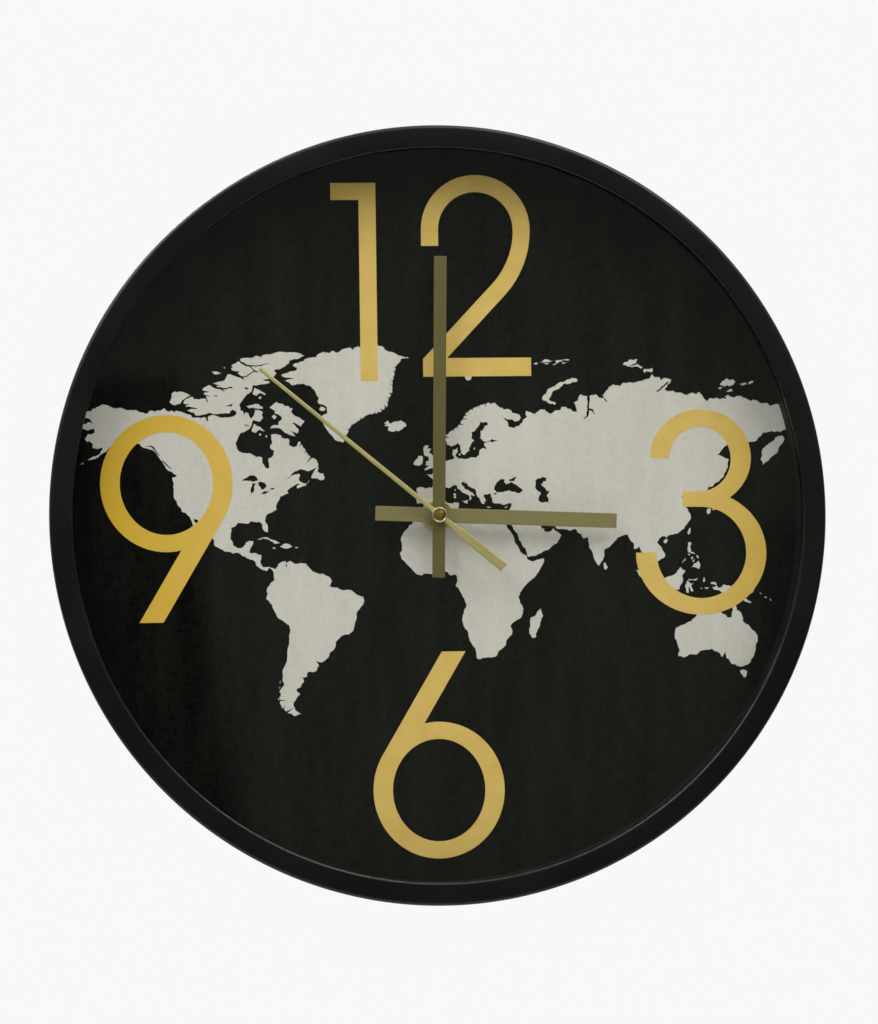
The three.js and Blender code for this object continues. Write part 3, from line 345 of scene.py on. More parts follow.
rim_back = rim_front + RIM_THICKNESS
rear_radius = frame_radius - REAR_TAPER
profile = (
    arc((RIM_OPENING + INNER_ROUND, rim_front + INNER_ROUND), INNER_ROUND, 180, 270, 8)
    + arc((frame_radius - OUTER_ROUND, rim_front + OUTER_ROUND), OUTER_ROUND, 270, 360, 10)
    + arc((rear_radius - REAR_EDGE, -REAR_EDGE), REAR_EDGE, 0, 90, 3)
    + [(rear_radius - SKIRT_WALL, 0.0),
       (frame_radius - SKIRT_WALL - REAR_TAPER * (lens_back - rim_front) / -rim_front, lens_back),
       (LENS_SEAT, lens_back), (LENS_SEAT, rim_back), (RIM_OPENING, rim_back)])
bezel = spin_profile("frame", profile, steps=256)
boss_places = []
for number in range(1, BOSS_COUNT + 1):
    screw_low, screw_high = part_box(f"plate_screw_{number}")
    boss_places.append(((screw_low.x + screw_high.x) / 2, (screw_low.z + screw_high.z) / 2))
for x, z in boss_places:
    boss = rod("boss", BOSS_RADIUS, lens_back - BOSS_ROOT, plate_front - BOSS_GAP, x, z, vertices=32)
    combine(bezel, boss, "UNION")
    sink(bezel, BOSS_BORE, lens_back + BORE_FLOOR, plate_front, x, z, vertices=24)
smooth(bezel, angle=35)
frame_plastic = moulded(
    "satin black plastic", (10, 12, 9), (15, 17, 13),
    gloss=(0.36, 0.48), scale=1300.0, depth=0.00003, shine=0.36, dust=0.2)
dress(bezel, frame_plastic, "case", "frame_plastic", "bezel_frame")

# Spacer: a thin black plastic band between the glass and the dial, cut from sheet and sprung in.
# Its matt inner wall shows on the right and along the top.
SPACER_WALL = 0.0010
low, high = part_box("spacer_ring")
spacer = spin_profile("spacer", [
    (high.x - SPACER_WALL, low.y), (high.x, low.y), (high.x, high.y),
    (high.x - SPACER_WALL, high.y)], steps=256)
smooth(spacer)
inner_black = moulded("matt black plastic", (8, 9, 7), (12, 13, 10), gloss=(0.6, 0.75), shine=0.12)
dress(spacer, inner_black, "case", "inner_black", "spacer_ring")

# Glass: a flat round pane, 2 mm thick, with ground edges, held on the frame's ledge by the spacer.
# Lamps and the even light reach the dial through it.
GLASS_EDGE = 0.0002
low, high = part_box("lens")
lens = spin_profile("glass", [
    (0.0, low.y), (high.x - GLASS_EDGE, low.y), (high.x, low.y + GLASS_EDGE),
    (high.x, high.y - GLASS_EDGE), (high.x - GLASS_EDGE, high.y), (0.0, high.y)], steps=192)
smooth(lens)
lens_glass, tree, shader = new_material("clear glass")
feed(tree, shader, {
    "Base Color": (0.99, 1.0, 0.99, 1), "Roughness": 0.0, "IOR": 1.5, "Transmission Weight": 1.0})
see_through = add_node(tree, "ShaderNodeBsdfTransparent").outputs[0]
ray = add_node(tree, "ShaderNodeLightPath").outputs
pane = shader.outputs[0]
for kind in ("Is Diffuse Ray", "Is Shadow Ray"):
    pane = add_node(tree, "ShaderNodeMixShader", {0: ray[kind], 1: pane, 2: see_through}).outputs[0]
feed(tree, tree.nodes["Material Output"], {"Surface": pane})
dress(lens, lens_glass, "case", "lens_glass", "lens")

# Dial: a stiff sheet printed with a near-black linen look, held flat between spacer and back plate.
# The weave is printed, so it changes tone more than it stands out.
SHAFT_HOLE = 0.0041
LINEN_STRETCHES = ((1050.0, 1.0, 210.0), (230.0, 1.0, 950.0), (90.0, 1.0, 16.0))
LINEN_DEPTH = 0.00001
low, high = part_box("dial")
dial_front = low.y
dial_radius = high.x
dial = spin_profile("dial_sheet", [
    (SHAFT_HOLE, low.y), (dial_radius, low.y), (dial_radius, high.y), (SHAFT_HOLE, high.y)], steps=192)
smooth(dial)


def drawn_out(tree, place, factors):
    """A place with each of its directions times a factor."""
    return add_node(tree, "ShaderNodeVectorMath", {0: place, 1: factors}, operation="MULTIPLY").outputs[0]


def linen_group():
    """Printed linen: fine uneven threads both ways, slow upright streaks of tone and a few specks."""
    group, given = new_group(
        "linen weave", {"Dark": "Color", "Light": "Color", "Speck": "Color"},
        {"Color": "Color", "Height": "Float"})
    place = add_node(group, "ShaderNodeTexCoord").outputs["Object"]
    upright, level, streaks = [
        noise(group, drawn_out(group, place, factors), scale=1.0, detail=2.0, roughness=0.6)
        for factors in LINEN_STRETCHES]
    weave = reckon(group, "ADD", upright, level)
    shade = ramp(group, reckon(group, "ADD", weave, streaks), 1.2, 1.8)
    colour = blend(group, shade, given["Dark"], given["Light"])
    flecks = specks(group, place, scale=260.0, size=0.075, rarity=0.55)
    dusty = blend(group, flecks, colour, given["Speck"])
    add_node(group, "NodeGroupOutput", {"Color": dusty, "Height": weave})
    return group


linen_weave = linen_group()


def printed(name, dark, light, speck, roughness):
    """A printed sheet with the linen look."""
    material, tree, shader = new_material(name)
    linen = add_node(tree, "ShaderNodeGroup", {
        "Dark": tint(*dark), "Light": tint(*light), "Speck": tint(*speck)}, node_tree=linen_weave).outputs
    bump = add_node(tree, "ShaderNodeBump", {"Height": linen["Height"], "Distance": LINEN_DEPTH})
    feed(tree, shader, {
        "Base Color": linen["Color"], "Normal": bump.outputs[0], "Roughness": roughness,
        "Specular IOR Level": 0.03})
    return material


dial_print = printed("black linen print", (1, 2, 0), (21, 23, 17), (52, 54, 46), roughness=0.7)
dress(dial, dial_print, "case", "dial_print", "dial")

# World map: printed in pale grey on the dial, on a cylindrical projection that is stretched towards the
# poles, turned a little with the print. Each coast is given by its capes and bays, and is broken up
# between them. Numbers are longitude and latitude, or steps on two finer sheets for the far north-west.
MAP_ACROSS = 0.0008183
MAP_UP = 0.0008115
MAP_MIDDLE = Vector((-0.00055, -0.0270))
PRINT_TURN = 0.805
PRINT_SCALE = 0.998
PRINT_SHIFT = Vector((0.00018, 0.00027))
PRINT_EDGE = 0.1419
EDGE_SLACK = 0.0001
PRINT_DEPTH = 0.00004
FINEST_COAST = 0.0005
NEARBY = 0.012
NORTH_FROM = 0.023
NORTH_RANGE = 0.019
FINE_SHARE = 0.11
OPEN_SHARE = 0.16
NORTHERN_SHARE = 0.10
FJORD_SPACING = 0.0019
FJORD_PLACE = (0.35, 0.65)
FJORD_HALF_WIDTH = (0.00025, 0.00045)
FJORD_SHORTEST = 0.0004
FJORD_SPREAD = 0.0030
FJORD_LEAN = 0.0010
SHEETS = {
    "west": (Vector((-0.10768, 0.06331)), Vector((0.00002962, -0.00002943))),
    "east": (Vector((-0.07872, 0.06545)), Vector((0.00002476, -0.00002456))),
}
MAINLANDS = {
    "america": """
        -168.1 65.6 -166 66.2 -163.8 66.6 -161.9 66.3 -162.6 67 -164 67.6 -166.7 68.35 -165.5 68.9 -163
        69.6 -161.9 70.3 -159.5 70.8 -156.6 71.35 -154 70.9 -151.5 70.45 -148 70.4 -144 70 -141 69.6
        -138.5 69.2 -136.5 68.9 -135.5 69.4 -133.5 69.6 west fine 0 800 60 765 85 800 120 815 150 790
        175 815 215 795 290 815 350 845 410 860 415 885 480 885 590 880 610 930 630 930 620 885 640 862
        690 850 740 865 780 880 860 880 960 865 1000 830 985 800 940 780 915 800 905 830 860 825 790 830
        700 840 655 820 590 845 520 855 460 855 440 820 360 800 365 785 420 770 500 765 420 750 335 745
        335 730 390 710 310 705 305 690 320 660 345 640 400 615 435 620 440 650 475 640 505 650 525 640
        560 635 600 640 620 690 610 640 600 605 670 600 600 590 570 575 575 560 640 545 550 525 570 490
        610 470 650 458 690 490 750 510 800 520 870 560 820 515 880 505 955 485 930 478 860 495 740 480
        735 465 800 465 690 440 735 425 790 410 835 400 860 350 880 310 920 315 980 340 1020 355 1070
        375 1120 400 1080 360 1130 350 1160 325 1200 290 1240 280 1290 290 1250 265 1190 220 1200 205
        1300 205 1420 165 1300 190 1200 190 1120 180 1060 150 1040 120 1130 95 1200 95 1240 70 1310 85
        1340 60 1400 45 1470 45 1480 30 1520 25 east 760 105 860 110 1020 125 1085 165 1000 205 920 215
        850 240 840 290 760 345 690 380 610 395 620 420 650 440 620 480 580 510 480 540 430 540 530 570
        545 590 480 610 400 620 340 635 270 640 275 670 265 710 240 745 180 780 130 850 85 910 65 950 85
        1000 85 1030 130 1045 150 1105 165 1060 210 1075 240 1150 260 1160 300 1100 310 1020 370 1020
        440 1060 415 1100 440 1150 400 1200 370 1210 290 1180 270 1210 260 1260 240 1305 180 1345 90
        1385 50 1450 15 1540 earth open -94.8 59.5 -94.2 58.8 -92.6 57 -88 56.5 -85 55.3 -82.3 55.1
        -82.2 53 -80.5 51.3 -79 51.5 -79.4 54.6 -77 55.8 -76.6 57.2 -78.5 58.8 -77.4 60 -77.8 61.5 -78
        62.4 -73.7 62.4 -71.5 61.2 -69.6 61 -69.5 59 -67.5 58.3 -65.8 58.9 fjords -64.5 60.3 -62 57.8
        -60 55.5 open -57.5 54.5 -55.7 52.8 -56 51.6 -60 50.2 -66.5 50.2 -69.5 48 -71 46.9 -68.5 48.5
        -65 49.2 -64.3 48.6 -65 47.5 -64.8 46.5 -63 45.7 -61.3 45.5 -60 46.8 -60.4 45.9 -64.5 44 -65.9
        43.6 -66.2 44.4 -64.5 45.4 -66.8 45 -69 44 -70.7 42.9 -70 41.7 -71.5 41.3 -73.9 40.6 -74.3 39.5
        -75.3 38.4 -76 37 -75.6 35.2 -78 33.9 -81 32 -81.3 30 -80.1 26.8 -80.4 25.2 -81.7 25.9 -82.7
        27.8 -82.8 29 -84 30 -85.3 29.7 -88 30.3 -89.3 29.1 -91.5 29.4 -94 29.6 -97.2 27.7 -97.4 25.5
        -97.8 22.5 -96.3 19.4 -94.5 18.2 -92 18.6 -90.6 19.8 -90.3 21 -87 21.5 -87.5 19.5 -88.2 18.3
        -88.6 15.8 -86 15.9 -83.3 15 -83.6 12.5 -83.6 10.9 -82 9.1 -79.9 9.4 -77.4 8.6 -76.8 8 -75.6 9.5
        -75.5 10.6 -74.3 11.2 -72.2 11.9 -71.5 12.4 -71.9 11.2 -70.2 11.6 -70 12.1 -68.4 11.2 -66 10.6
        -63 10.7 -61.9 10.7 -62.3 9.9 -60.5 8.5 -57.5 6.2 -54 5.9 -51.5 4.4 -50 1.8 -51.9 -0.9 -50.8
        -0.2 -48.5 -0.9 -47.5 -0.7 -44.5 -2.4 -40 -2.9 -37.3 -4.7 -35.3 -5.3 -34.8 -7.5 -35.5 -9.5 -37.5
        -11.8 -38.6 -13 -39.1 -17 -39.8 -19.7 -41 -21.9 -42.5 -22.9 -44.7 -23.2 -46.5 -24.2 -48.5 -25.9
        -48.7 -28.2 -50.2 -30.2 -52.3 -33 -53.7 -34.3 -55 -34.9 -57.8 -34.4 -58.4 -34 -57.2 -35.5 -56.7
        -36.5 -57.6 -38.1 -62 -39 -62.3 -40.6 -65 -41 -63.8 -42.5 -65.3 -44.6 -67.5 -46 -65.8 -47.4
        -67.6 -49.2 -69 -50.5 -68.4 -52.3 -68.2 -53.2 -65.2 -54.7 -68.5 -55.3 fjords -71.5 -54.3 -74.5
        -52.3 -75.3 -50.5 -75.5 -48.5 open -74.6 -47 -75.5 -46.6 -74.3 -45 -73 -44 -73.8 -42.5 -73.8 -40
        -73.5 -37.2 -72.3 -35 -71.6 -33 -71.5 -30 -70.6 -27 -70.5 -24 -70.2 -20 -70.4 -18.4 -72.5 -17
        -75.8 -14.8 -76.5 -13.5 -78.3 -10 -79.9 -7 -81.2 -6 -80.2 -3.3 -81 -2.2 -80.1 0.2 -79 1.6 -77.5
        2.8 -77.2 4 -77.8 7.2 -78.2 8 -79.5 8.9 -80.2 8.1 -80.9 7.3 -82.9 8.2 -83.7 8.6 -85.7 10 -85.8
        11 -87.5 12.9 -89.8 13.5 -92.2 14.5 -94.7 16.2 -97 15.9 -99.8 16.8 -102.3 17.9 -105.6 20 -105.4
        21.5 -107.5 24.2 -109.4 26 -111 28 -113 31.2 -114.8 31.8 -114.6 30.3 -112.7 28 -111.1 25.5
        -109.6 23.2 -112.1 24.6 -112.3 26.1 -114.9 27.8 -115.8 30.2 -117.1 32.6 -118.5 34 -120.6 34.6
        -122.5 37.6 -124 40 -124.2 43 -124 46.2 -124.7 48.3 -122.6 48.9 -125 50.2 -127.8 51.5 -130.3
        54.6 -131.8 56.2 -134 58 -137 58.6 -139.6 59.6 -144 60 -147.5 61 -151.5 59.3 -151.3 60.9 -153.5
        59.4 -156.5 57.3 -159.5 55.7 -163 54.8 -164.9 54.4 -163.6 55.2 -162.3 55.8 -158 57.8 -157.3 58.8
        -159 58.6 -162 58.7 -161.8 60 -164.9 60.8 -165.8 61.8 -164.5 63.1 -161 63.6 -161 64.6 -163 64.5
        -166.3 64.6""",
    "old world": """
        -5.6 36 -4.4 36.7 -2.1 36.7 -0.7 37.6 0.1 38.8 -0.3 39.5 0.9 40.8 3.2 41.9 3.1 43.1 4.8 43.4 6.6
        43.1 8.8 44.4 10.2 43.9 10.5 42.9 12.3 41.7 14.2 40.8 15.7 40 16.1 38.8 15.7 38 16.6 38.4 17.1
        39 16.6 39.7 16.9 40.4 18.4 39.8 18.4 40.3 16.1 41.8 14.2 42.5 13.5 43.6 12.4 44.3 12.3 45.3
        13.7 45.7 13.6 44.9 14.9 45 15.2 44.2 17.5 43 19.4 41.8 19.4 40.4 20.7 39 21.3 37.7 21.7 36.8
        23.1 36.5 22.9 37.5 24 37.7 22.9 39.2 22.8 40.4 23.9 40.4 26 40.8 26.2 40.1 26.2 39.5 26.9 38.5
        27.3 37 28.2 36.7 30.6 36.8 32.5 36.1 34.6 36.8 36.1 36.7 35.9 35.5 35.1 32.9 34.3 31.3 32.3
        31.2 30.3 31.5 29 30.9 25.2 31.6 23.1 32.5 20.1 32.3 20 30.9 18 30.4 15.5 32.2 11.2 33.1 10.1
        34.2 10.9 35.5 11 37 9.8 37.3 5.2 36.8 0 36 -2 35.1 -5.3 35.8 -6 35.7 -6.8 34.1 -9.3 32.4 -9.8
        30.4 -11.5 28.2 -13 27.7 -14.8 25.3 -16.1 23.6 -17.1 21 -16.3 19 -16.5 16.3 -17.5 14.7 -16.8 13
        -16.7 12.3 -15 10.8 -13.2 8.7 -11.4 6.8 -7.6 4.4 -4 5.2 -2 4.8 1.1 6.1 3.4 6.4 5 5.7 5.9 4.4 8.5
        4.6 9.5 3.9 9.8 2 9.3 0.4 8.8 -0.9 11.2 -4 12.3 -6.1 13.4 -8.7 13.8 -10.8 12.6 -13.5 11.8 -16 12
        -18 14.4 -22.5 15.2 -26.6 16.5 -28.6 18.3 -32.2 18.4 -34.1 20 -34.8 22.5 -34.1 25.7 -34 28.2
        -32.8 31 -29.9 32.6 -28.2 32.9 -26 35.4 -24 35.4 -21.3 34.8 -19.8 37 -17.8 40.1 -16 40.7 -14.5
        40.5 -10.9 39.4 -8 38.8 -6.2 39.5 -4.2 41.5 -1.8 43.5 0.6 46 2.4 48.5 5.3 50.8 9.2 51.2 11.8
        48.8 11.3 45 10.6 43.2 11.5 42.9 13 39.8 15.3 38.5 18 37.3 19.5 37.1 21.2 35.5 23.9 33.7 27 32.5
        29.9 33.2 28.6 34.2 27.8 34.9 29.4 35.2 28.1 37.2 25 39 22 40.5 19.8 42.5 16.5 43.2 13.2 43.5
        12.7 45 12.8 48.7 14 52.2 15.6 55.2 17.5 57.8 19 58.7 20.5 59.8 22.5 58.5 23.7 56.5 24.7 56.3
        26.2 54.5 24.3 51.6 24.2 51.5 25.8 50.8 25.2 50 26.7 48.1 29.3 48.6 30 50.2 30 51.5 27.9 54.5
        26.6 56.8 27.1 57.2 25.8 61.5 25.1 66.5 25.3 67.3 24 68.5 23.3 70 22.6 69 22.2 70.5 20.8 72.3
        21.5 72.8 19.2 73.5 16 74.8 13 76.3 9.8 77.5 8.1 78.2 9 79.2 10.3 80.2 13.2 80.2 15.7 82.3 16.7
        85 19.5 87 21.2 88.5 21.8 90.5 22.3 91.8 22.4 92.3 20.8 94.3 18.5 94.3 16 95.5 15.8 97 16.9 97.7
        15.2 98.6 12 98.3 9 98.3 7.9 100.2 6 101.3 3 103.5 1.3 104.2 1.5 103.4 4 102.2 6.2 100.4 7.2
        99.3 9.5 100 12.5 100.5 13.5 101 12.7 102.8 11.8 103.6 10.6 105 8.7 106.8 10.4 109.2 11.8 109.3
        13.5 107.8 16.4 105.8 19 106.7 20.5 108.2 21.6 109.9 21.5 110 20.3 110.7 21.3 113.5 22.3 116.7
        23.4 118.7 24.7 120 26.6 121.8 28.8 122 30.8 120.9 32.6 119.3 34.8 120.4 36 122.5 37 121 37.7
        119 37.4 117.8 38.8 119.5 39.8 121.2 40.8 121.3 39 122 39.1 124.3 39.9 125.2 38.5 125 37.8 126.6
        37 126.4 34.6 128.5 34.9 129.4 36 128.5 38.4 127.5 39.7 129.8 41 130.7 42.3 133 42.8 135.5 44.5
        138.5 47 140.4 50 140.8 53 138 53.9 135.3 54.7 138.5 57 142.5 59.2 148.5 59.4 151.5 58.8 154.2
        59.1 156.8 60.9 160 62 163.8 62 168.8 62.8 180 65 180 69 167 69.6 162 69.6 159.5 70.5 155 71.1
        152 70.9 150 71.5 146 72.3 141 72.7 139.5 72.3 140 71.5 137 71.5 133 71.7 130.5 70.9 129 72 127
        73.4 123.5 73.2 119 73 113.5 73.6 110.5 74 113 75.5 113.8 76.2 111 76.7 107 77 104.3 77.7 101
        76.5 98 76.1 93 75.9 87 75 82 73.6 80.5 72.7 82.8 70.8 81 72.1 78.5 72.3 75 72.8 fine 74.2 72.6
        74 70.5 73.9 69.4 75.8 69.1 76.6 67.6 75.6 68.4 74 68.8 73.5 67.2 71.4 66.2 71.2 66.6 72.6 67.2
        73.1 68.8 73.2 70.4 open 72.9 72.7 69.8 73 66.8 70.8 68.3 68.4 64.8 69.3 60.7 69.8 60.2 68.9
        57.5 68.7 54.2 68.3 53 68.9 48.2 67.8 46.3 68.2 43.5 68.6 44 66.9 42.5 66.4 40.5 64.7 37.5 63.9
        35 64.4 34.8 65.5 32.5 67.1 36 66.4 40.5 66.3 41.3 66.9 40 67.8 35.5 69.2 31 69.8 28.5 71 fjords
        25.7 71.1 22.5 70.6 19 69.8 15 68.4 13 66.3 11 64.6 8 63.2 5.2 61.9 5 60.5 open 5.6 58.8 7.5
        58.1 10.4 59.2 11.1 59 12.2 57 12.9 55.5 14.3 55.5 16.2 56.8 16.8 58.5 18.7 59.9 17.2 61 17.3
        62.4 19.6 63.7 21.3 64.9 22 65.8 24.6 65.8 25.3 65 23.5 63.9 21.6 62.8 21.4 60.8 23 59.9 27 60.5
        30 60 27.5 59.5 23.5 59.2 23.4 58.5 24.4 57.3 22.5 57.6 21.1 56.8 21 55.3 19.8 54.5 16.5 54.4
        14.2 53.9 11 54 9.6 55 10.9 56.4 10.5 57.7 8.3 57 8.1 55.6 8.8 54 7 53.6 4.8 53 4 51.8 1.7 50.9
        1.5 50.1 -1.2 49.6 -1.6 48.6 -4.7 48.5 -2.6 47.4 -1.2 46 -1.4 44.3 -1.8 43.4 -8 43.7 -9.3 43
        -8.7 41 -9.5 38.7 -8.9 37 -7 37.2 -6.3 36.6""",
}
ISLANDS = """
    -33 83.6 -45 82.8 -55 82.4 east fine 1170 190 1080 220 1075 250 1000 270 900 310 930 340 970 345 960
    390 900 410 800 440 715 470 760 500 810 510 930 520 820 540 780 555 850 590 880 625 960 615 1080 605
    1180 640 1240 700 1280 790 1310 820 1290 880 1310 915 1430 960 1440 1070 1370 1100 1365 1140 1440
    1330 1500 1400 1568 1490 earth open -43.9 59.8 fjords -42.5 61.5 -40.5 64.5 -38 65.7 -32 68 -26 68.7
    -22.5 70.3 -22 72 -20 74 -20 76 -19 78 open -18 80 -12 81.5 -22 82.8; west fine 930 200 960 180 1000
    155 1030 145 1060 175 1120 205 1160 210 1200 245 1225 265 1180 290 1150 315 1110 340 1060 340 1010
    300 1035 275 960 270 920 245 950 220; west fine 200 540 215 560 265 545 300 555 400 595 340 625 290
    660 270 700 195 725 120 685 150 630 150 575; west fine 670 280 740 280 800 300 730 320; west fine
    830 225 845 222 850 235 835 238; east fine 300 670 330 690 380 705 430 740 480 775 460 785 410 755
    370 760 330 800 275 770 288 720; east fine 290 1240 330 1260 390 1290 470 1355 440 1360 390 1335 360
    1345 320 1385 260 1355 275 1300; east fine 180 960 240 950 310 930 370 930 400 965 435 970 430 1005
    340 1000 270 985 220 1000; east fine 365 830 390 805 415 830 390 855; east fine 370 1410 390 1388
    412 1410 390 1432; east fine 472 1440 490 1422 508 1440 490 1458; east fine 570 1130 610 1090 650
    1130 610 1170; east fine 540 990 580 950 610 920 645 890 690 920 740 920 770 960 850 970 860 1000
    900 990 880 1040 910 1090 960 1120 1010 1140 1050 1180 1090 1190 1050 1240 1030 1280 980 1250 920
    1215 895 1230 950 1280 1000 1340 980 1390 930 1370 870 1355 920 1400 950 1435 880 1420 820 1395 770
    1370 700 1310 620 1305 570 1315 550 1300 580 1270 680 1265 680 1230 690 1200 740 1160 720 1120 680
    1090 620 1070 630 1040 580 1010; east fine 1310 1005 1350 960 1420 990 1400 1030 1340 1030; -168.4
    53.2 -166.4 54 -166.6 53.4; -59.3 47.6 -58.5 49 -57 51 -55.5 51.6 -56.2 50 -53.6 49.3 -52.8 47.5
    -53.8 46.7 -55.6 46.9 -56 47.6; -84.9 21.9 -83 22.9 -80.5 23.1 -77 21.7 -74.2 20.3 -77.2 20.1 -77.6
    20.9 -79.5 21.9 -81.5 22.4 -83 22.4; -74.4 18.5 -72.8 19.9 -70 19.8 -68.4 18.6 -71.4 17.8; -78.3
    18.3 -77 18.5 -76.3 18 -77.5 17.8; -67.2 18.4 -65.7 18.4 -65.9 18 -67.2 18; -24.3 65.5 -22.4 66.4
    -21 65.5 -18 66.1 -16.2 66.5 -14.6 65.8 -13.6 65 -15 64.3 -18.5 63.4 -22.6 63.9 -22 64.6 -24 64.9
    -22.5 65.3; -5.6 50.1 -3.5 50.3 -1.2 50.7 1.4 51.2 0.9 51.7 1.7 52.6 0.2 53 -0.2 54.3 -1.6 55.5 -2.8
    56.1 -1.9 57.5 -4 57.7 -3.1 58.6 -5 58.6 -5.8 57.4 -5.5 55.6 -4.8 55 -3.2 54.9 -3 53.5 -4.5 53.2
    -4.2 52.3 -5.1 51.8 -3 51.4 -4.3 51.1; -10.2 52 -9.9 53.4 -8.5 54.3 -8.2 55.2 -6 55 -6 53.5 -6.3
    52.2 -8.5 51.7; 12.5 37.9 15.3 38.2 15.1 36.7; 8.3 41 9.6 40.9 9.6 39.2 8.4 39.1; 8.7 42.5 9.5 42.9
    9.4 41.7; 23.6 35.4 26.2 35.2 24.8 34.9; 32.4 34.9 34.5 35.6 33.6 34.8; 11.1 55.6 12.1 56 11.9 55.2
    11.4 55.1; 18.2 57.3 19.1 57.9 18.6 57.1; 11 79.2 14 79.8 18 79.9 21 78.6 17 76.6 14 77.5; 20 80.1
    23 80.4 27 80 22 79.4; 51.8 71.4 51.6 72.4 53.6 73.7 56 74.8 60.3 76 65.1 76.7 68.4 76.7 68.6 76.2
    65.1 75.7 60.9 75 57.9 74 55.6 72.7 55.1 71.4 57.8 70.4 54.4 70.8; 47.3 80.1 49.3 80.4 49.7 80.1;
    50.6 80.5 53 81 57 80.8 55 80.5; 52 80.1 55.5 80.3 54 79.95; 58 80.6 62 81 65 80.8 61 80.5; 56.5 80
    59.5 80.3 58 79.9; 61 80.2 63.4 80.4 62 80; 90.5 79.9 93.5 80.9 97.5 80.9 97 80.2; 93.5 79.4 97 79.8
    100.5 79.3 99.5 78.9; 100 78.6 104.5 79 105 78.4 101 78; 137.3 75.2 138.5 76 141.5 76.2 145 75.7
    143.5 75 140 74.8; 146.5 75.3 150.5 75.2 148 74.8; 140.2 73.4 142 74 143.3 73.5; 150.8 75.6 153.6
    75.8 152 75.2; 136.4 74.3 138.4 74.5 137.5 74; 79.8 8 80.2 9.7 81.8 7.3 80.6 5.9 79.9 6.9; 95.3 5.6
    97.5 5.2 100.5 2.2 103.5 0 106 -3 105.8 -5.8 104.5 -5.8 101.5 -3 98.8 1.7; 109 1.5 109.7 2 111.3 2.5
    113.2 3.2 115.2 5.2 116.8 6.9 119.2 5.1 117.8 3.5 118 1 116.5 -2 116.2 -3.8 114.5 -4 111.8 -3.4 110
    -1.5; 105.3 -6.8 108.5 -6.7 112.6 -6.9 114.5 -8.4 111 -8.3 106.5 -7.3; 119.5 -5.5 119.4 -3.4 118.8
    -2.7 119.8 0.2 120.9 1.3 123.3 0.9 125 1.6 124.2 0.4 120.2 0.4 121.5 -0.9 123.3 -0.9 121.6 -1.9
    122.3 -3.4 122.8 -4.7 121.6 -4.8 120.9 -2.7 120.4 -3.2 120.4 -5.6; 120.3 16 120.6 18.5 122.2 18.4
    121.6 16 122 14.2 124 13 121.7 13.7 120.6 13.9 120.2 14.8; 122 7 123.5 8.6 125.5 9.8 126.5 7.5 125.5
    5.8 124 6.8; 124.3 12.5 125.5 12.2 125.7 11.1 124.8 11.2; 122 11.8 123.1 11.4 122 10.5; 122.5 9.8
    123.5 10.9 123.2 9.1; 117.3 8.4 119.5 11.3 119.2 10.1; 120.4 13.4 121.5 13.1 121.2 12.3; 127.5 0.5
    128 2.1 128.6 0.3 127.9 -0.6; 128 -3.1 130.8 -3.2 129.5 -3.7; 126.1 -3.2 127.2 -3.3 126.6 -3.8;
    123.6 -10.2 125.2 -9 127.2 -8.4 125.5 -9.6; 119 -8.4 122.7 -8.3 120.5 -9; 131 -0.8 132.5 -0.4 134
    -0.8 134.3 -2.5 135 -3.3 137.8 -1.6 141 -2.6 144.5 -3.9 147.8 -6.2 146.9 -6.8 148.5 -9 150.8 -10.4
    147.5 -10 146 -8.6 143.5 -8.4 142.5 -9.2 140 -8.2 138 -8.3 138.5 -7 135 -4.4 132.8 -4 132 -2.9 133.8
    -2.3 131.5 -1.5; 148.5 -5.8 150.5 -5.5 152.2 -4.2 151.5 -5.6 149.8 -6.2; 154.8 -5.6 155.8 -6.3 155.4
    -6.7; 157 -7.8 158.4 -8.2 157.6 -8.5; 159.6 -8.6 160.9 -9.6 159.8 -9.6; 120.1 23 121.5 25.2 121.9
    24.9 120.9 22; 108.7 19.2 110.5 20.1 111 19.7 109.5 18.2; 130 31.2 131.5 31.5 132 33.3 130.4 33.7
    129.7 32.8; 131 34.3 133 35.5 136 36 137 37.4 139.5 38.5 140.3 41.2 141.9 39.5 140.9 36 140 35 137.2
    34.6 135.8 33.6 135 34.6 132.5 34.2; 140.2 42.4 140.8 43.3 141.7 45.4 144.5 44 145.5 43.3 143.2 42
    141 42.4; 132.4 33.4 134.4 34 134.2 33.3 133 32.8; 142 46.1 142 50 142.8 54.3 143.3 52 143 49.3
    144.5 49 143.3 47; 142.5 -10.7 143.6 -14.2 145.4 -15 146.3 -18.9 149.2 -21 150.8 -23.3 153.2 -25.5
    153.6 -28.6 152.5 -32.2 150.2 -36 150 -37.5 146.4 -39.1 143.5 -38.8 140.5 -38 139.5 -36.2 138.2
    -35.6 137.9 -33 136.5 -34.9 135.7 -34.9 134.2 -32.9 131.2 -31.5 128.9 -31.7 126 -32.3 123.8 -33.9
    120 -33.9 117.8 -35.1 115.1 -34.4 115.7 -32 114.6 -29 113.4 -26.1 114.1 -21.8 116.8 -20.6 119 -20
    121.5 -19 122.2 -18 123.7 -16.8 125.5 -14.3 127.8 -14.2 129.6 -14.9 130.8 -12.4 132.6 -11.4 135.5
    -12.1 136.8 -12.2 135.6 -14.8 137 -15.9 139.5 -17.5 140.9 -17.4 141.6 -14.5 141.7 -12.5; 144.7 -40.8
    148.2 -40.9 147.9 -43 146.6 -43.6 145.3 -42.2; 167.4 60.7 163.7 60.3 161.2 58.5 158.7 57.2 156.8
    55.4 156.3 53 157.2 50.8 160.5 52.7 162.5 54 164.3 54.9 165 56.2 166.8 58 168 59.8; -75.2 -43.4
    -74.8 -42.3 -75.3 -42.5; -75.9 -45 -75.2 -44.6 -75.2 -45.3; -76.3 -49.6 -76 -48.8 -75.7 -49.5; 49.3
    -12 50.4 -15.6 48.9 -19 47.1 -25 45.2 -25.6 43.7 -23.4 44.3 -20 44.4 -16.2 47.3 -14.7"""
